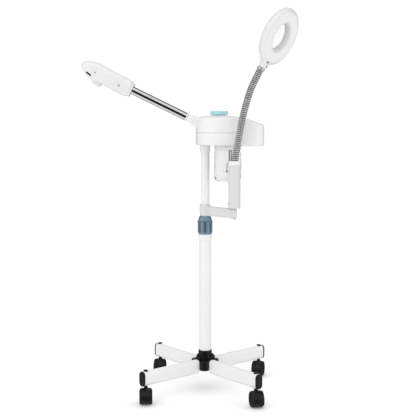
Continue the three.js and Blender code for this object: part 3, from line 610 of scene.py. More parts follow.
# ------------------------------------------------------------ base
YAW = 40.4
CORNERS = ["back_right", "back_left", "front_left", "front_right"]
ARM_MID = sum(height_of("arm_tube_front_left")) / 2
ARM_HIGH = 46.0
ARM_WIDE = 25.0
ARM_START = 35.0
ARM_END = 253.0
CAP_TIP = 259.4
STEM_AT = 243.0          # the caster stem's hole in each arm
HUB_RADIUS = 22.0
HUB_FACE = 34.7
HUB_PILLAR = 16.5
HUB_EAR = 37.5
HUB_LOW, HUB_TOP = height_of("base_hub")


def hub():
    """Moulded star hub: pole cup, four arm sockets with round pillars between them, and four curved claws."""
    profile = fillet([(0, HUB_LOW), (HUB_RADIUS, HUB_LOW, 1), (HUB_RADIUS, HUB_TOP - 2.4, 0.6),
            (HUB_RADIUS - 0.5, HUB_TOP, 0.8), (19.6, HUB_TOP, 0.4), (19.4, 113.5, 0.2), (0, 113.5)],
            closed=False)
    body = turned(profile, 72)
    arm_top = ARM_MID + ARM_HIGH / 2
    half = ARM_WIDE / 2
    centre = (HUB_FACE + half) / 2 - 4
    outline = []
    for quarter in range(4):
        turn = Matrix.Rotation(math.radians(YAW + 90 * quarter), 2)
        ring = [Vector((HUB_FACE, -half)), Vector((HUB_FACE, half))]
        for k in range(14):
            t = math.radians(-20 + 10 * k)
            ring.append(Vector((centre + HUB_PILLAR * math.cos(t), centre + HUB_PILLAR * math.sin(t))))
        outline.extend(turn @ point for point in ring)
    body.add(prism(outline, HUB_LOW, arm_top - 3, 1.6, 4))
    for i in range(4):
        claw = fillet([(14, arm_top - 8), (HUB_FACE, arm_top - 8), (HUB_FACE, arm_top + 0.3, 0.5),
                (HUB_EAR, arm_top + 0.3, 0.8), (HUB_EAR - 1.2, arm_top + 4, 3),
                (HUB_EAR - 5.6, arm_top + 9, 4), (HUB_RADIUS + 3, arm_top + 13.8, 3),
                (HUB_RADIUS - 1, arm_top + 16.5, 2), (14, arm_top + 16.5)])
        body.add(plate(claw, -7.6, 7.6, 2.4, 4), spin(YAW + 90 * i))
    piece("hub", body, place(), BLACK, "stand", ["base_hub"])


def arm(i, corner):
    spot = place(turn=spin(YAW + 90 * i))
    outer = raised(rounded_box(ARM_WIDE, ARM_HIGH, 11.2, 8), ARM_MID)
    hole = moved(rod(5.1, ARM_MID - 40, ARM_MID + 40, sides=24), STEM_AT)
    piece(f"arm_{corner}", bar(outer, ARM_START, ARM_END), spot, PAINT, "stand", [f"arm_tube_{corner}"],
            cuts=[hole])
    face = raised(rounded_box(ARM_WIDE + 1, ARM_HIGH + 1, 12.4, 8), ARM_MID)
    cap = bar(face, ARM_END + 0.3, CAP_TIP, 1.8, 4)
    groove = raised(rounded_box(ARM_WIDE - 7, ARM_HIGH - 7, 8.6, 8), ARM_MID)
    inner = raised(rounded_box(ARM_WIDE - 9, ARM_HIGH - 9, 7.8, 8), ARM_MID)
    lip = bar(groove, CAP_TIP - 0.7, CAP_TIP + 1)
    piece(f"arm_cap_{corner}", cap, spot, BLACK, "stand", [f"arm_end_cap_{corner}"], cuts=[lip])
    piece(f"arm_cap_pad_{corner}", bar(inner, CAP_TIP - 3, CAP_TIP - 0.15, 0.5), spot, BLACK, "stand")


WHEEL = 24.0
WHEEL_HALF = 20.3
TRAIL = 9.0
HOOD_ROOF = 27.4
HOOD_ROOM = 25.4


def caster_hood(corner, spot):
    """Hood over both wheels with round shoulders and two grooves, then web, neck, stem and nut."""
    section = [(-18.7, HOOD_ROOM)]
    for k in range(19):
        x = -18.6 + 37.2 * k / 18
        drop = 9 - math.sqrt(max(81 - max(abs(x) - 11.7, 0) ** 2, 0))
        section.append((x, HOOD_ROOF - drop))
    section.append((18.7, HOOD_ROOM))
    for x in (13.2, -13.2):
        near = min(range(len(section)), key=lambda k: abs(section[k][0] - x))
        section[near] = (section[near][0], section[near][1] - 0.45)
    hood = Shape()
    rings = []
    for k in range(29):
        t = math.radians(-34 + 214 * k / 28)
        ring = [Vector((x, -TRAIL - r * math.cos(t), WHEEL + r * math.sin(t))) for x, r in section]
        rings.append(hood.loop(ring))
    hood.skin(rings, ends=True)
    web = [Vector((max(p.x, -100), max(p.y, 2.0))) for p in circle(HOOD_ROOM + 0.6, 48, 0, WHEEL)]
    hood.add(plate(web, -3.3, 3.3), spin(90), (0, -TRAIL, 0))
    hood.add(solid([(0, 45), (6.6, 45), (6.6, 51.6, 1.4), (5.2, 53, 0.8), (5.2, 56.6, 0.4), (0, 56.6)], 36))
    piece(f"caster_hood_{corner}_cover", hood, spot, BLACK, f"caster_{corner}", [f"caster_hood_{corner}"],
            sharp=40)
    nut_top = ARM_MID + ARM_HIGH / 2
    stem = solid([(0, 52), (4.4, 52), (4.4, nut_top + 3, 0.8), (0, nut_top + 3)], 24)
    stem.add(prism(circle(7.1, 6), nut_top + 0.3, nut_top + 3.9, 0.6, 2))
    piece(f"caster_stem_{corner}", stem, spot, BLACK, f"caster_{corner}")


def caster_wheels(corner, spot):
    wheels = Shape()
    inside, outside = 4.2, WHEEL_HALF
    tread = fillet([(0, inside), (WHEEL - 3, inside, 1), (WHEEL, inside + 1.2, 1.4), (WHEEL, outside - 4, 3),
            (WHEEL - 3.8, outside, 2), (WHEEL - 5.8, outside, 0.5), (WHEEL - 6.4, outside - 1.4, 0.5),
            (8.4, outside - 1.4, 0.5), (7.6, outside - 0.2, 0.6), (0, outside - 0.2)], closed=False)
    for flip in (1, -1):
        half = turned([(r, flip * z) for r, z in tread], 56)
        wheels.add(half, ALONG, (0, -TRAIL, WHEEL))
    wheels.add(rod(3, -6, 6, "X", sides=24), shift=(0, -TRAIL, WHEEL))
    piece(f"wheels_{corner}_pair", wheels, spot, TREAD, f"wheels_{corner}", [f"caster_wheels_{corner}"])


hub()
for index, corner_name in enumerate(CORNERS):
    arm(index, corner_name)
    swivel = joint_spot(f"caster_swivel_{corner_name}")
    axle_axis = JOINTS[f"wheel_roll_{corner_name}"]["axis"]
    heading = spin(math.degrees(math.atan2(axle_axis[1], axle_axis[0])))
    caster_spot = place(swivel.x, swivel.y, 0, heading)
    caster_hood(corner_name, caster_spot)
    caster_wheels(corner_name, caster_spot)


# ------------------------------------------------------------ column
COLLAR_LOW, COLLAR_TOP = height_of("height_collar")
SLEEVE_LOW, SLEEVE_TOP = height_of("tube_sleeve")
LOWER_TOP = height_of("lower_tube")[1]
UPPER_LOW, UPPER_TOP = height_of("upper_tube")
SOCKET_LOW, SOCKET_TOP = height_of("pole_socket")
COLLAR_FLUTES = 8


def fluted_ring(base, z, depth, count, sides):
    """One ring of points whose radius dips at each flute."""
    points = []
    for k in range(sides):
        t = 2 * math.pi * k / sides
        radius = base - depth * (1 - abs(math.sin(0.5 * count * t)) ** 0.45)
        points.append(Vector((radius * math.cos(t), radius * math.sin(t), z)))
    return points


def collar():
    """Slate blue twist collar: wide flutes, a ledge and a tapered shoulder."""
    shape = Shape()
    rows = [(COLLAR_LOW, 20.6, 0), (COLLAR_LOW + 0.6, 21.2, 0), (COLLAR_LOW + 5.6, 24.0, 0),
            (COLLAR_LOW + 6.8, 24.4, 0), (COLLAR_LOW + 8.5, 24.5, 1.5), (COLLAR_TOP - 20.5, 24.5, 1.5),
            (COLLAR_TOP - 19, 24.5, 0), (COLLAR_TOP - 17.6, 24.5, 0), (COLLAR_TOP - 17.2, 24.2, 0),
            (COLLAR_TOP - 16.8, 23.2, 0), (COLLAR_TOP - 15.6, 23.2, 0), (COLLAR_TOP - 1.4, 18.6, 0),
            (COLLAR_TOP - 0.3, 18, 0), (COLLAR_TOP, 17.4, 0), (COLLAR_TOP, 14.4, 0),
            (COLLAR_TOP - 6, 14.4, 0)]
    sides = 160
    rings = []
    for z, radius, depth in rows:
        rings.append(shape.loop(fluted_ring(radius, z, depth, COLLAR_FLUTES, sides)))
    rings += [shape.ring(19.3, COLLAR_LOW + 12, sides), shape.ring(19.3, COLLAR_LOW, sides)]
    shape.skin(rings + rings[:1])
    obj = piece("twist_collar", shape, place(), BLUE, "collar", ["height_collar"], sharp=24)
    # Faces in the flute grooves, under the ledge and along the bottom edge get the darker blue: painted shade
    # in these recesses.
    obj.data.materials.append(BLUE_GROOVE_SHADE)
    for face in obj.data.polygons:
        spot = (face.center - POLE) / MM
        groove = abs(math.sin(0.5 * COLLAR_FLUTES * math.atan2(spot.y, spot.x))) < 0.62
        fluted = COLLAR_LOW + 7 < spot.z < COLLAR_TOP - 19 and math.hypot(spot.x, spot.y) > 21
        ledge = COLLAR_TOP - 18 < spot.z < COLLAR_TOP - 15.6
        face.material_index = 1 if ledge or spot.z < COLLAR_LOW + 2 or (fluted and groove) else 0


def tubes():
    lower = tube([(17.5, 113.5), (19, 113.5), (19, LOWER_TOP, 0.5), (17.5, LOWER_TOP)], 64)
    piece("column_lower", lower, place(), PAINT, "stand", ["lower_tube"])
    sleeve = tube([(19.3, SLEEVE_LOW), (20.6, SLEEVE_LOW, 0.5), (20.9, SLEEVE_LOW + 4, 1),
            (20.9, SLEEVE_TOP - 0.2, 0.5), (19.3, SLEEVE_TOP - 0.2)], 64)
    piece("column_sleeve", sleeve, place(), WHITE, "stand", ["tube_sleeve"])
    bush_low, bush_high = height_of("guide_bush")
    bush = tube([(14.3, bush_low), (17.2, bush_low, 0.6), (17.2, bush_high, 0.6), (14.3, bush_high)], 48)
    piece("column_bush", bush, place(), BLACK, "slider", ["guide_bush"])
    upper = tube([(12.6, UPPER_LOW), (14, UPPER_LOW, 0.5), (14, UPPER_TOP, 0.5), (12.6, UPPER_TOP)], 64)
    piece("column_upper", upper, place(), PAINT, "head", ["upper_tube"])
    socket = tube([(14.3, SOCKET_LOW), (15.6, SOCKET_LOW, 0.7), (16.6, SOCKET_LOW + 6, 4), (16.6, 805),
            (25.4, 805.4, 0.5), (25.4, 808.6, 0.5), (16.6, 809), (16.6, SOCKET_TOP), (14.3, SOCKET_TOP)], 56)
    piece("column_socket", socket, place(), WHITE, "head", ["pole_socket"])


collar()
tubes()


# ------------------------------------------------------------ lamp bracket and mast
MAST_SPOT = joint_spot("mast_turn")
MAST_PLACE = place(MAST_SPOT.x, MAST_SPOT.y)
MAST_REACH = math.hypot(MAST_SPOT.x, MAST_SPOT.y)
MAST_BEARING = math.degrees(math.atan2(MAST_SPOT.y, MAST_SPOT.x))
BRACKET_LOW, BRACKET_TOP = 574.5, 605.5
MAST_LOW, MAST_HIGH = height_of("mast_tube")
MAST_CAP_TOP = height_of("mast_top_cap")[1]


def bracket():
    mid = (BRACKET_LOW + BRACKET_TOP) / 2
    ring = tube([(14.35, 574.1), (16.6, 574.1, 0.8), (17.4, 578, 2), (17.4, 609.8, 1), (16.4, 610.9, 0.8),
            (14.35, 610.9)], 64)
    line = raised(rounded_box(17, BRACKET_TOP - BRACKET_LOW, 5, 6), mid)
    arm_bar = bar(line, 15, MAST_REACH - 4)
    end = moved(rod(8.5, BRACKET_LOW, BRACKET_TOP, edge=4.6, sides=40), MAST_REACH)
    for x in (19, 23.6, 28.2):
        rib = raised(rounded_box(18.8, BRACKET_TOP - BRACKET_LOW + 1.9, 5.6, 6), mid)
        arm_bar.add(bar(rib, x, x + 2.6, 0.8))
    spot = place(turn=spin(MAST_BEARING))
    shape = ring.add(arm_bar).add(end)
    piece("lamp_bracket", shape, spot, GREY_PAINT, "bracket", ["bracket_arm"])
    screw = bar(circle(4.8, 32), -21.9, -17.6, 0.8)
    slot_cut = moved(plate(rounded_box(1.2, 8, 0.3, 2), -6, 6), -22.2)
    piece("bracket_clamp_screw", screw, place(z=mid + 2, turn=spin(MAST_BEARING)), STEEL, "bracket",
            ["bracket_screw"], cuts=[slot_cut])


def mast():
    bolt = solid([(0, 572.6), (5.4, 572.6, 1.2), (5.4, 574.2, 0.3), (4, 574.2), (4, 612), (0, 612)], 40)
    bolt.add(tube([(4, 605.7), (7.6, 605.7, 0.3), (7.6, 606.8, 0.3), (4, 606.8)], 40))
    piece("mast_bolt", bolt, MAST_PLACE, SCREW_STEEL, "bracket", ["mast_pivot_bolt"])
    pipe = tube([(4.4, MAST_LOW), (18.4, MAST_LOW, 1.8), (19, MAST_LOW + 5, 2), (19, MAST_HIGH),
            (17.4, MAST_HIGH), (17.4, MAST_LOW + 6), (4.4, MAST_LOW + 6)], 72)
    piece("mast_sleeve", pipe, MAST_PLACE, GREY_PAINT, "mast", ["mast_tube"])
    cap = tube([(11.4, MAST_HIGH + 0.3), (19, MAST_HIGH + 0.3, 0.3), (19, MAST_CAP_TOP - 0.2, 3.6),
            (11.6, MAST_CAP_TOP - 0.2, 1)], 72)
    piece("mast_cap", cap, MAST_PLACE, WHITE, "mast", ["mast_top_cap"])
    screw = solid([(0, 0), (2.4, 0), (2.2, 0.9, 0.6), (0, 1.1)], 24)
    turned_screw = Shape().add(screw, spin(-90, "Y"), (-18.9, 0, 0))
    piece("mast_side_screw", turned_screw, place(MAST_SPOT.x, MAST_SPOT.y, 622, spin(20)), STEEL, "mast")


bracket()
mast()


# ------------------------------------------------------------ gooseneck
NECK_POINTS = [Vector((x, 0, z)) for x, z in [(0, 735), (1.5, 755), (5, 785), (14, 835), (27, 899),
        (45, 963), (61.7, 1002.6), (82.5, 1043.6)]]
NECK_PATH = spline(NECK_POINTS, 60)
NECK_PITCH = 6.0
NECK_SIDES = 32
BEND_REACH = 13.0       # a length along the neck on both sides of each skin's joint


def stretch(start, end, step):
    """Evenly spaced points of the neck between two distances along it."""
    out = []
    travelled = 0.0
    want = start
    for a, b in zip(NECK_PATH, NECK_PATH[1:]):
        length = (b - a).length
        while want <= min(travelled + length, end + 1e-6):
            out.append(a.lerp(b, (want - travelled) / length))
            want += step
        travelled += length
    return out


NECK_LENGTH = sum((b - a).length for a, b in zip(NECK_PATH, NECK_PATH[1:]))


def bend_distance(joint):
    """Distance along the neck of the path point nearest to a joint."""
    point = (Vector(JOINTS[joint]["pos_m"]) - MAST_PLACE.translation) / MM
    best, at, travelled = 1e9, 0.0, 0.0
    for a, b in zip(NECK_PATH, NECK_PATH[1:]):
        if (a - point).length < best:
            best, at = (a - point).length, travelled
        travelled += (b - a).length
    return at


def gooseneck_skin(name, start, end, bend_joint, node):
    """Interlocked strip wound into a flexible tube: a helical rib, one turn every pitch."""
    step = NECK_PITCH / 10
    points = stretch(start, end, step)

    def section(_, travelled):
        ring = []
        for k in range(NECK_SIDES):
            turn = k / NECK_SIDES
            phase = ((start + travelled) / NECK_PITCH - turn) % 1.0
            crest = math.sin(math.pi * phase) ** 0.6
            radius = 8.9 + 2.05 * crest
            ring.append((radius * math.cos(2 * math.pi * turn), radius * math.sin(2 * math.pi * turn)))
        return ring

    obj = piece(name, swept(points, section), MAST_PLACE, NECK_METAL, None, [node], sharp=60)
    # Faces in the grooves between the helical ribs get the dark metal: painted shade in the grooves.
    obj.data.materials.append(NECK_GROOVE_SHADE)
    for face in obj.data.polygons[:(len(points) - 1) * NECK_SIDES]:
        row, column = divmod(face.index, NECK_SIDES)
        phase = ((start + row * step) / NECK_PITCH - column / NECK_SIDES) % 1.0
        face.material_index = 1 if abs(phase - 0.5) > 0.3 else 0
    at = bend_distance(bend_joint)
    before = MAST_PLACE @ stretch(max(at - BEND_REACH, 0), at, BEND_REACH)[0]
    beyond = stretch(at, min(at + BEND_REACH, NECK_LENGTH - 0.5), min(BEND_REACH, NECK_LENGTH - 1 - at))
    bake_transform(obj)


bends = [bend_distance(name) for name in ("neck_bend_lower", "neck_bend_upper", "neck_bend_top")]
half_a = (bends[0] + bends[1]) / 2
half_b = (bends[1] + bends[2]) / 2
gooseneck_skin("neck_skin_lower", 2, half_a, "neck_bend_lower", "gooseneck_lower")
gooseneck_skin("neck_skin_middle", half_a, half_b, "neck_bend_upper",
        "gooseneck_middle")
gooseneck_skin("neck_skin_upper", half_b, NECK_LENGTH - 6, "neck_bend_top",
        "gooseneck_upper")


# ------------------------------------------------------------ ring lamp
LAMP_UP = Vector((0.47, 0, 0.8827)).normalized()
LAMP_FACE = -Vector(JOINTS["lamp_switch_press"]["axis"]).normalized()
LAMP_SIDE = LAMP_UP.cross(LAMP_FACE)
LAMP_TURN = basis(LAMP_SIDE, LAMP_UP, LAMP_FACE)
LAMP_SPOT = Vector((227.3, -95.0, 1137.8))
LAMP_OUTER = 91.4
LAMP_INNER = 45.0
LAMP_HALF = 12.5
LENS_RADIUS = 42.0


def lamp():
    spot = place(*LAMP_SPOT, LAMP_TURN)
    rear = fillet([(42.6, -LAMP_HALF), (84, -LAMP_HALF, 9), (LAMP_OUTER, -4, 9), (LAMP_OUTER, -0.15, 0.3),
            (LAMP_OUTER - 2.4, -0.15), (LAMP_OUTER - 2.6, -4, 6), (83, -LAMP_HALF + 2.5, 5),
            (LAMP_INNER + 2.5, -LAMP_HALF + 2.5), (LAMP_INNER + 2.5, -0.15), (LAMP_INNER, -0.15),
            (LAMP_INNER, -LAMP_HALF + 2.2), (42.6, -LAMP_HALF + 2.2, 0.6)])
    shape = turned(rear, 128, closed=True)
    piece("lamp_back", shape, spot, LAMP_WHITE, "lamp", ["lamp_rear_shell"])
    front = fillet([(LAMP_INNER, 0.15), (LAMP_INNER + 2.5, 0.15), (LAMP_INNER + 2.5, 6.5),
            (LAMP_OUTER - 2.5, 6.5), (LAMP_OUTER - 2.5, 0.15), (LAMP_OUTER, 0.15, 0.3),
            (LAMP_OUTER - 0.1, LAMP_HALF - 6.5, 9), (LAMP_OUTER - 3.6, LAMP_HALF - 1.8, 7),
            (84, LAMP_HALF - 0.1, 6), (82.2, LAMP_HALF - 0.2, 0.4), (82, 10.8), (82, 8.7),
            (LAMP_INNER + 5, 8.7), (LAMP_INNER + 5, LAMP_HALF - 0.9, 0.4),
            (LAMP_INNER + 2.5, LAMP_HALF - 1.0, 1.5), (LAMP_INNER, LAMP_HALF - 2.6, 2.4)])
    piece("lamp_front", turned(front, 128, closed=True), spot, LAMP_WHITE, "lamp", ["lamp_front_shell"])
    diffuser = tube([(LAMP_INNER + 5.2, 8.9), (81.8, 8.9), (81.8, 12, 0.2), (66, 12.4, 10),
            (LAMP_INNER + 5.2, 11.5, 0.2)], 128)
    piece("lamp_diffuser", diffuser, spot, DIFFUSER, "lamp", ["led_diffuser"])
    rear_z = -LAMP_HALF + 2.5
    shares = [k / 8 for k in range(9)]
    lower = [(LENS_RADIUS * share, rear_z - 2 * (1 - share ** 2)) for share in shares]
    upper = [(LENS_RADIUS * share, rear_z + 2.6 + 3.2 * (1 - share ** 2)) for share in reversed(shares)]
    lens = turned(lower + [(44.5, rear_z), (44.5, rear_z + 2.5)] + upper, 96)
    piece("lamp_lens", lens, spot, GLASS, "lamp", ["magnifier_lens"])
    lamp_neck(spot)


def lamp_neck(spot):
    """Tapered neck that blends the ring into the gooseneck's ferrule."""
    shape = Shape()
    rows = [(-107.4, 11.6, 11.4, 0.0), (-106.6, 12.2, 11.9, 0.0), (-101, 12.8, 12.2, 0),
            (-96, 14.6, 12.2, 0), (-92, 18, 12, 0), (-88, 24, 11.6, 0), (-84, 30, 10.8, 0)]
    sides = 40
    rings = []
    for y, half_wide, half_deep, shift in rows:
        ring = []
        for k in range(sides):
            t = 2 * math.pi * k / sides
            c, s = math.cos(t), math.sin(t)
            power = 0.72
            x = half_wide * math.copysign(abs(c) ** power, c)
            z = half_deep * math.copysign(abs(s) ** power, s) + shift
            ring.append(Vector((x, y, z - 0.3)))
        rings.append(shape.loop(ring))
    shape.skin(rings, ends=True)
    piece("lamp_neck", shape, spot, LAMP_WHITE, "lamp", sharp=40)
    screw = solid([(0, 9), (3.3, 9), (3.3, 12.1, 0.5), (1.6, 12.1), (1.4, 11.0), (0, 11.0)], 24)
    piece("lamp_screw", moved(screw, 0, -99), spot, STEEL, "lamp", ["lamp_neck_screw"])
    button = prism(rounded_box(3.5, 5.5, 1.1, 4), 6, 13.4, 0.5)
    piece("lamp_button_cap", moved(button, -6, -86.5), spot, BLACK, "lamp_button", ["lamp_switch"])


def ferrule():
    start = NECK_LENGTH - 9.5
    points = stretch(start, NECK_LENGTH - 0.4, 1.3)
    count = len(points)

    def section(i, _):
        edge = min(i, count - 1 - i)
        radius = 12.3 - (0.7 if edge == 0 else 0.15 if edge == 1 else 0)
        return circle(radius, 40)

    piece("neck_ferrule", swept(points, section), MAST_PLACE, NECK_METAL, "lamp", ["lamp_ferrule"])


lamp()
ferrule()


# ------------------------------------------------------------ steamer housing
DRUM_X = 47.0
DRUM_R = 77.0
LOBE_TO = 189.0
LOBE_HALF = 53.0
LOBE_CORNER = 36.0
FRONT_CORNER = 24.0
FRONT_FROM = 107.0
BASE_LOW = 802.0
SEAM = 842.0
CROWN = 898.0
CROWN_X = 45.0
DOME = 328.0
FILLER_X = 45.5
FILLER_HOLE = 17.0
CAP_FLUTES = 22
JAR_X, JAR_Y = 73.0, -4.0
INLET_X, INLET_Z = 120.5, 822.0
ROCKER_X = 148.0
ROCKERS = (("steam_switch", "steam_rocker", 829), ("ozone_switch", "ozone_rocker", 815))
OZONE_X, OZONE_Y = 4.0, 34.0
EAR_RADIUS = 14.9


def crown_height(x, y):
    return CROWN - ((x - CROWN_X) ** 2 + y ** 2) / (2 * DOME)


def lobe_front(x):
    """Front face of the right lobe, whose left corner is rounded."""
    centre = FRONT_FROM + FRONT_CORNER
    if x >= centre:
        return LOBE_HALF
    rise = max(FRONT_CORNER ** 2 - (centre - x) ** 2, 0)
    return LOBE_HALF - FRONT_CORNER + math.sqrt(rise)


def housing_outline():
    """Drum and lobe as one outline, anticlockwise from the crease on the front."""
    crease = FRONT_FROM
    while lobe_front(crease) < math.sqrt(DRUM_R ** 2 - (crease - DRUM_X) ** 2):
        crease += 0.1
    points = []
    for k in range(9):
        step = crease + (FRONT_FROM + FRONT_CORNER - crease) * (k / 8) ** 1.4
        points.append(Vector((step, -lobe_front(step))))
    points.append(Vector((142, -LOBE_HALF)))
    for start, y in ((-90, LOBE_CORNER - LOBE_HALF), (0, LOBE_HALF - LOBE_CORNER)):
        for k in range(13):
            t = math.radians(start + 7.5 * k)
            points.append(Vector((LOBE_TO - LOBE_CORNER + LOBE_CORNER * math.cos(t),
                    y + LOBE_CORNER * math.sin(t))))
    rear = DRUM_X + math.sqrt(DRUM_R ** 2 - LOBE_HALF ** 2)
    for k in range(1, 5):
        points.append(Vector((153 + (rear - 153) * k / 4, LOBE_HALF)))
    first = math.atan2(LOBE_HALF, rear - DRUM_X)
    last = 2 * math.pi - math.atan2(lobe_front(crease), crease - DRUM_X)
    for k in range(1, 72):
        t = first + (last - first) * k / 72
        points.append(Vector((DRUM_X + DRUM_R * math.cos(t), DRUM_R * math.sin(t))))
    return points


OUTLINE = housing_outline()
OUTLINE_CENTRE = Vector((82.0, 0.0))


def shrunk(outline, amount):
    """The outline pulled in evenly towards the housing's middle line, kept clear of the crease's fold."""
    if amount < 7:
        return inset(outline, amount)
    return [point + (OUTLINE_CENTRE - point).normalized() * amount for point in outline]


def lobe_share(x):
    """0 on the drum, 1 on the right lobe, where the seam closes up."""
    return min(max((x - 108) / 8, 0), 1)


def outline_ring(shape, amount, height, seam):
    """The outline pulled in, at height(x, y); along the seam the lobe keeps its full width."""
    points = shrunk(OUTLINE, amount)
    if seam:
        points = [q.lerp(p, lobe_share(p.x)) for p, q in zip(OUTLINE, points)]
    return shape.loop([Vector((p.x, p.y, height(p.x, p.y))) for p in points])


def top_shell():
    """Domed cover: upright wall, soft shoulder, shallow crown, open below."""
    shape = Shape()
    rings = []
    shoulder = 5.0

    def ring(amount, height, seam=False):
        return outline_ring(shape, amount, height, seam)

    rings.append(ring(2.6, lambda x, y: SEAM + 0.05))
    rings.append(ring(0.6, lambda x, y: SEAM + 0.05, True))
    rings.append(ring(0.15, lambda x, y: SEAM + 0.5, True))
    foot = SEAM + 1.2
    rings.append(ring(0.0, lambda x, y: foot))
    for k in range(1, 6):
        rings.append(ring(0.0, lambda x, y, k=k: foot + (crown_height(x, y) - shoulder - foot) * k / 5))
    for k in range(1, 7):
        t = 0.5 * math.pi * k / 6
        pull = shoulder * (1 - math.cos(t))
        drop = shoulder * (1 - math.sin(t))
        rings.append(ring(pull, lambda x, y, d=drop: crown_height(x, y) - d))
    rim = [shape.verts[k].copy() for k in rings[-1]]
    centre = Vector((FILLER_X, 0, 0))
    for k in range(1, 15):
        share = (1 - k / 14) ** 1.2
        points = []
        for p in rim:
            out = Vector((p.x, p.y, 0)) - centre
            point = centre + out.normalized() * FILLER_HOLE
            point = point.lerp(centre + out, share)
            points.append(Vector((point.x, point.y, crown_height(point.x, point.y))))
        rings.append(shape.loop(points))
    rings.append(shape.loop([shape.verts[k] - Vector((0, 0, 2.5)) for k in rings[-1]]))
    shape.skin(rings)
    piece("housing_cover", shape, place(), WHITE, "head", ["housing_top_shell"], sharp=32)


def base_shell():
    """Lower tray: rounded bottom edge, the lobe 3 mm deeper, holes for the column and the jar."""
    shape = Shape()
    rings = []
    edge = 5.5

    def ring(amount, height, seam=False):
        return outline_ring(shape, amount, lambda x, y: height(x), seam)

    def floor_height(x):
        share = min(max((x - 104) / 8, 0), 1)
        return BASE_LOW - 3 * share * share * (3 - 2 * share)

    rings.append(ring(0.9, lambda x: SEAM - 0.35 + 0.3 * lobe_share(x), True))
    rings.append(ring(0.35, lambda x: SEAM - 0.7 + 0.3 * lobe_share(x), True))
    rings.append(ring(0.0, lambda x: SEAM - 1.5))
    for k in range(1, 5):
        rings.append(ring(0.0, lambda x, k=k: SEAM - 1.5 + (floor_height(x) + edge - SEAM + 1.5) * k / 4))
    for k in range(1, 6):
        t = 0.5 * math.pi * k / 5
        rise = edge * (1 - math.sin(t))
        rings.append(ring(edge * (1 - math.cos(t)), lambda x, r=rise: floor_height(x) + r))
    shape.skin(rings)
    shape.faces.append(tuple(rings[-1]))
    holes = [rod(17, 790, 812, sides=56), moved(rod(47, 790, 812, sides=96), JAR_X, JAR_Y)]
    inlet = moved(plate(rounded_box(28, 20, 2, 4), LOBE_HALF - 6, LOBE_HALF + 6), INLET_X, 0, INLET_Z)
    holes.append(inlet)
    for _, _, z in ROCKERS:
        holes.append(moved(plate(rounded_box(18.6, 10.2, 1, 3), LOBE_HALF - 6, LOBE_HALF + 6), ROCKER_X, 0,
                z))
    piece("housing_tray", shape, place(), WHITE, "head", ["housing_base_shell"], cuts=holes, thick=2.6,
            sharp=32)


def elbow_ears():
    """Fork ears of the tilt joint, moulded on the cover's left shoulder."""
    x, z = joint_spot("steam_arm_tilt").x, joint_spot("steam_arm_tilt").z
    turns = [math.radians(239 - 8.2 * k) for k in range(21)]
    points = [(x + EAR_RADIUS * math.cos(t), z + EAR_RADIUS * math.sin(t)) for t in turns]
    tail = [(-34, 893.5, 1), (-31, 896, 1), (-28.6, 899.2, 1.4), (-26.4, 893, 3), (-22, 888.3, 4),
            (-17.3, 887.6, 3), (-9, 889, 2), (-4, 889.5), (-4, 850), (-29, 857.6)]
    outline = list(reversed(fillet(points + tail)))
    shape = Shape()
    shape.add(plate(outline, 9.7, 14.9, 1.3))
    shape.add(plate(outline, -14.9, -9.7, 1.3))
    backing = list(reversed(fillet([(-29.2, 857.6), (-4, 850), (-4, 887.4), (-25, 887.2, 2),
            (-29.2, 884, 3)])))
    shape.add(plate(backing, -13, 13))
    piece("elbow_fork", shape, place(), WHITE, "head")
    cap = solid([(0, 0), (8, 0), (8, 1.2, 0.6), (6.2, 2.3, 1), (4.2, 2.3, 0.3), (3.6, 1.5, 0.3), (0, 1.5)],
            40)
    both = Shape().add(cap, UPRIGHT, (0, -15.3, 0)).add(cap, REARWARD, (0, 15.3, 0))
    both.add(rod(3, -15, 15, "Y", sides=24))
    piece("elbow_screw", both, place(x, 0, z), WHITE, "head", ["elbow_pin"])


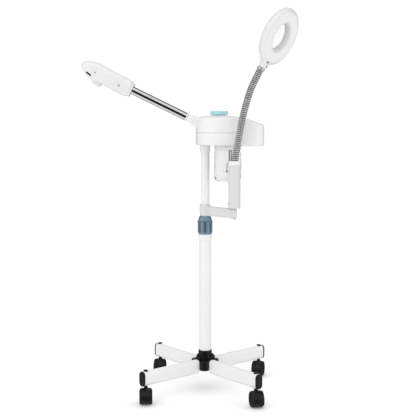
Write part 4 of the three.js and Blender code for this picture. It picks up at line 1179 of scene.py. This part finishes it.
def underside():
    """Boiler lid, glass jar, threads, collar, heater and probe."""
    spot = place(JAR_X, JAR_Y)
    lid = solid([(40.6, 803), (46, 803, 0.8), (46, 820, 1), (30, 823, 2), (0, 823), (0, 814), (40.6, 814)],
            72)
    piece("boiler_cover", lid, spot, WHITE, "head", ["boiler_lid"])
    collar_ring = tube([(40.4, 787.4), (43, 787.4, 0.8), (43.6, 791, 1), (43.6, 801.5, 0.5), (40.4, 801.5)],
            96)
    piece("jar_ring", collar_ring, spot, WHITE, "jar", ["jar_collar"])
    outer = [(0, 686.4), (26, 686.4), (34, 686.4, 10), (42.4, 692.5, 14), (43.6, 716), (43.9, 779, 6),
            (40.6, 786, 2), (39.8, 787), (39.8, 811.8, 0.8)]
    inner = [(37.2, 811.8, 0.8), (37.2, 786, 2), (41.2, 778, 6), (40.9, 716), (39.6, 697, 12),
            (32, 689.6, 9), (0, 689.6)]
    jar = turned(fillet(outer + inner, closed=False, steps=8), 112)
    for k in range(3):
        z = 789 + 4.2 * k
        jar.add(tube([(39.7, z), (40.15, z + 0.6, 0.3), (40.15, z + 1.6, 0.3), (39.7, z + 2.2)], 96))
    piece("jar_glass", jar, spot, JAR_GLASS, "jar", ["water_jar"])
    path = spline([Vector(p) for p in [(5.5, 0, 828), (5.5, 0, 800), (5.5, 0, 757), (6.2, 0, 750),
            (8.5, -0.5, 747), (10.8, -1, 750), (11.5, -1, 757), (11.5, -1, 800), (11.5, -1, 828)]], 8)
    heater = swept(path, circle(2.3, 20))
    piece("heater_rod", heater, spot, STEEL, "head", ["heating_element"])
    stalk = spline([Vector(p) for p in [(4, 6, 828), (4, 6, 800), (4, 6, 757), (3, 6, 748), (-1, 6, 740),
            (-2.5, 6, 732), (-2.5, 6, 714)]], 8)
    probe = swept(stalk, circle(1.6, 16))
    tee = solid([(0, 712.2), (3, 712.2, 0.6), (3, 716, 0.3), (4.9, 716.2, 0.6), (4.9, 719.3, 0.8),
            (0, 719.6)], 32)
    piece("probe_rod", probe.add(tee, shift=(-2.5, 6, 0)), spot, STEEL, "head", ["level_probe"])
    ozone = solid([(0, 826), (5, 826, 1), (5, 836, 1), (8, 838, 1), (8, 866, 6), (0, 866)], 32)
    piece("ozone_bulb", ozone, place(OZONE_X, OZONE_Y), GLASS, "head", ["ozone_lamp"])


def filler():
    spot = place(FILLER_X, 0)
    neck = tube([(14, 826), (16.6, 826), (16.6, 897.6, 1), (22, 898.3, 0.5), (22, 903.2, 0.8), (14, 903.2)],
            56)
    piece("filler_funnel", neck, spot, WHITE, "head", ["filler_neck"])
    shape = Shape()
    rows = [(898.6, 23, 0), (898.6, 27.6, 0), (899.2, 28.3, 0), (900.4, 28.45, 1.0), (907.4, 28.2, 1.2),
            (909.4, 27.6, 1.0), (910.4, 26.6, 0.5), (910.9, 25.2, 0.1), (911, 22, 0), (910.4, 20, 0),
            (910.3, 12, 0)]
    sides = 192
    rings = []
    for z, radius, depth in rows:
        rings.append(shape.loop(fluted_ring(radius, z, depth, CAP_FLUTES, sides)))
    tip = shape.loop([Vector((0, 0, 910.5))])[0]
    shape.skin(rings)
    shape.faces.extend((rings[-1][k], rings[-1][(k + 1) % sides], tip) for k in range(sides))
    under = [(22.8, 898.8), (22.8, 904.2), (13, 904.2), (13, 889.8), (0, 889.6)]
    previous = rings[0]
    for r, z in under[:-1]:
        current = shape.ring(r, z, sides)
        shape.bridge(previous, current)
        previous = current
    end = shape.loop([Vector((0, 0, under[-1][1]))])[0]
    shape.faces.extend((previous[k], previous[(k + 1) % sides], end) for k in range(sides))
    piece("filler_lid", shape, spot, AQUA, "fill_cap", ["filler_cap"], sharp=28)


def rear_controls():
    inlet_spot = place(INLET_X, LOBE_HALF, INLET_Z)
    flange = plate(rounded_box(33, 25, 2, 4), 0.3, 2.1, 0.5)
    body = plate(rounded_box(27.2, 19.2, 1.6, 4), -14, 1)
    pocket = plate(rounded_box(22, 14, 1.5, 4), -12, 3)
    piece("mains_inlet", flange, inlet_spot, BLACK, "head", ["power_inlet"], cuts=[pocket])
    piece("mains_inlet_body", body, inlet_spot, BLACK, "head", cuts=[pocket])
    pins = Shape()
    for x, z in ((-6, -0.4), (0, 1.8), (6, -0.4)):
        pins.add(plate(rounded_box(1.6, 3, 0.4, 2), -12.5, -1, 0.3), shift=(x, 0, z))
    piece("mains_pins", pins, inlet_spot, STEEL, "head")
    for name, body_name, z in ROCKERS:
        wedge = fillet([(-8.5, -4.5), (8.5, -4.5), (8.5, 0, 0.6), (0, -1.4, 6), (-8.5, 2.2, 0.6)])
        rocker = prism(wedge, -4.4, 4.4, 0.4, 2)
        piece(f"{name}_rocker", rocker, place(ROCKER_X, LOBE_HALF, z), BLACK, body_name, [name])
        frame_cut = plate(rounded_box(18.4, 10, 0.9, 3), -4, 4)
        rim = plate(rounded_box(20.6, 12.2, 1.6, 4), 0.0, 0.9, 0.4)
        piece(f"{name}_frame", rim, place(ROCKER_X, LOBE_HALF, z), BLACK, "head", cuts=[frame_cut])


top_shell()
base_shell()
elbow_ears()
underside()
filler()
rear_controls()


# ------------------------------------------------------------ steam arm
ELBOW = joint_spot("steam_arm_tilt")
ARM_DIRECTION = Vector(JOINTS["nozzle_roll"]["axis"]).normalized()
ARM_TURN = basis(ARM_DIRECTION, Vector((0, 1, 0)), ARM_DIRECTION.cross(Vector((0, 1, 0))))
ARM_SPOT = place(ELBOW.x, 0, ELBOW.z, ARM_TURN)
TUBE_START = 19.0
SLEEVE_START = 212.0
TUBE_END = 236.0


def along_arm(profile, sides=56, closed=False):
    """A profile of (radius, distance) turned about the steam arm's axis."""
    return Shape().add(turned(profile, sides, closed), ALONG)


def steam_arm():
    eye = rod(11.9, -8.9, 8.9, "Y", edge=0.8, sides=48)
    neck = plate(fillet([(0, -11), (17, -12.2), (17, 12.2), (0, 11)]), -8.9, 8.9)
    ferrule_profile = fillet([(0, 15.8), (13.4, 15.8, 1), (14.2, 17, 0.6), (14.2, TUBE_START + 0.1, 0.4),
            (12.7, TUBE_START + 0.1), (0, TUBE_START + 0.1)], closed=False)
    body = Shape().add(eye).add(neck).add(along_arm(ferrule_profile))
    piece("elbow_joint", body, ARM_SPOT, WHITE, "steam_arm", ["elbow_knuckle"])
    pipe = along_arm(fillet([(11.3, TUBE_START + 0.3), (12.5, TUBE_START + 0.3), (12.5, TUBE_END),
            (11.3, TUBE_END)]), 96, closed=True)
    piece("chrome_tube", pipe, ARM_SPOT, CHROME, "steam_arm", ["steam_tube"])
    sleeve = along_arm(fillet([(12.8, SLEEVE_START), (14, SLEEVE_START, 0.8), (14.7, SLEEVE_START + 3, 1),
            (14.7, 240, 1), (12.8, 240)]), 64, closed=True)
    sleeve.add(plate(fillet([(236, -9), (253, -9), (253, 15), (236, 15)]), -8, 8))
    eye_end = moved(rod(13.8, -8, 8, "Y", edge=0.8, sides=48), 253.6, 0, 5.1)
    sleeve.add(eye_end)
    piece("nozzle_sleeve", sleeve, ARM_SPOT, WHITE, "nozzle_stem", ["nozzle_stem"])


steam_arm()


# ------------------------------------------------------------ nozzle head
NOZZLE = joint_spot("nozzle_tilt")
NOZZLE_SLOPE = 27.8
NOZZLE_AXIS = Vector((-math.cos(math.radians(NOZZLE_SLOPE)), 0, math.sin(math.radians(NOZZLE_SLOPE))))
NOZZLE_UP = Vector((math.sin(math.radians(NOZZLE_SLOPE)), 0, math.cos(math.radians(NOZZLE_SLOPE))))
NOZZLE_TURN = basis(NOZZLE_AXIS, NOZZLE_UP.cross(NOZZLE_AXIS), NOZZLE_UP)
NOZZLE_SPOT = place(NOZZLE.x, 0, NOZZLE.z, NOZZLE_TURN)
HEAD_TOP = [(-39.5, 18), (-38.6, 24), (-36.5, 29), (-33, 32), (-32.4, 31.6), (-31.8, 32.4), (-26, 33.4),
        (-10, 33.4), (20, 32.6), (47, 32.2), (70, 33.6), (88, 34.2), (104, 31.5), (120, 25), (132, 17.5),
        (138, 10.5), (139.6, 5)]
HEAD_BOTTOM = [(-39.5, -8), (-38.6, -13), (-36.5, -17.4), (-33, -20.4), (-32.4, -20), (-31.8, -20.8),
        (-26, -22.4), (-10, -22.8), (20, -22.6), (47, -22), (70, -23), (88, -24), (102, -23.6), (116, -17),
        (128, -9.5), (137, -2), (139.6, 4)]
MOUTH_LOW, MOUTH_HIGH, MOUTH_HALF = -15.5, 26.0, 18.0
SLOT_AT = (102.0, 0.0, -12.0)


def along_curve(table, s):
    for (a, va), (b, vb) in zip(table, table[1:]):
        if s <= b:
            share = (s - a) / (b - a)
            return va + (vb - va) * share
    return table[-1][1]


def half_loop(s, top, bottom, deep, side, power):
    """A half outline across the head, from the top round one side to the bottom."""
    ring = []
    for k in range(33):
        t = math.pi * k / 32
        c, sn = math.cos(t), math.sin(t)
        z = (top + bottom) / 2 + (top - bottom) / 2 * math.copysign(abs(c) ** power, c)
        ring.append(Vector((s, side * (0.18 + (deep - 0.18) * abs(sn) ** power), z)))
    return ring


def head_half(side):
    """One moulded half of the nozzle head; side is 1 for the half towards the front."""
    stations = [-39.5, -38.6, -37.6, -36.5, -35, -33, -32.4, -31.8, -29, -26]
    stations += [-26 + 3.0 * k for k in range(1, 48)] + [117, 119, 121, 123, 125, 127, 129, 131, 133, 135,
            136.5, 138, 138.8, 139.4]
    shape = Shape()
    rings = [shape.loop(half_loop(-36.8, MOUTH_HIGH, MOUTH_LOW, MOUTH_HALF, side, 0.4)),
            shape.loop(half_loop(-39.6, MOUTH_HIGH, MOUTH_LOW, MOUTH_HALF, side, 0.4))]
    for s in sorted(stations):
        top, bottom = along_curve(HEAD_TOP, s), along_curve(HEAD_BOTTOM, s)
        half = (top - bottom) / 2
        deep = 24.7 * min(1.0, half / 27.0) ** 0.8 * (1 - 0.12 * max(0, (s - 60) / 80))
        rings.append(shape.loop(half_loop(s, top, bottom, deep, side, 0.66)))
    shape.skin(rings, closed=False)
    shape.faces.append(tuple(rings[-1]))
    return shape


def nozzle():
    """Both shells with their boss, pivot, screw and slot on each side, then the spout."""
    tilt = spin(-10, "Y")
    for side, name in ((1, "front"), (-1, "rear")):
        piece(f"nozzle_half_{name}", head_half(side), NOZZLE_SPOT, HEAD_WHITE, "nozzle",
                [f"nozzle_{name}_shell"], thick=2.0, sharp=38)
        outward = REARWARD if side > 0 else UPRIGHT
        disc = solid([(0, 20), (12.4, 20), (12.4, 25.4, 0.4), (11.2, 26.2, 0.5), (8.2, 26.2, 0.5),
                (6.6, 24.9, 0.5), (3.2, 24.9, 0.3), (2.7, 24.6), (0, 24.6)], 64)
        pin = solid([(0, 18), (2.4, 18), (2.4, 25.6, 0.5), (0, 25.6)], 24)
        small = solid([(0, 18), (2.2, 18), (2.2, 24.8, 0.5), (0, 24.8)], 24)
        rim = prism(rounded_box(22.4, 8.4, 4.1, 6), 14, 23.6, 1)
        # The black slot piece stands just proud of the uncut shell: it has the nozzle core's own black, and
        # also stands in for the recessed opening's depth as painted shade.
        hole = prism(rounded_box(19.0, 5.2, 2.5, 6), 14, 23.9, 0.3)
        for kind, part, turn, shift, material, node in (
                ("boss", disc, outward, (0, 0, 0), HEAD_WHITE, None),
                ("pin", pin, outward, (0, 0, 0), SCREW_STEEL, "nozzle_pivot_screw"),
                ("screw", small, outward, (85.5, 0, 1), SCREW_STEEL, None),
                ("slot_rim", rim, tilt @ outward, SLOT_AT, HEAD_WHITE, None),
                ("slot", hole, tilt @ outward, SLOT_AT, BLACK, "nozzle_core")):
            replaces = [node] if node and side > 0 else ()
            piece(f"nozzle_{kind}_{name}", Shape().add(part, turn, shift), NOZZLE_SPOT, material, "nozzle",
                    replaces)
    profile = fillet([(51.8, -16), (52.2, -28, 3), (55.4, -35.3, 2), (60, -36.6, 3), (75, -34, 5),
            (87.8, -27, 2), (88.4, -16)])
    spout = plate(profile, -8.4, 8.4, 1.6)
    inner = moved(prism(rounded_box(28, 12.4, 3, 4), -45, -10), 69.5)
    piece("nozzle_spout_tip", spout, NOZZLE_SPOT, FROST, "nozzle", ["nozzle_spout"], cuts=[inner])


nozzle()
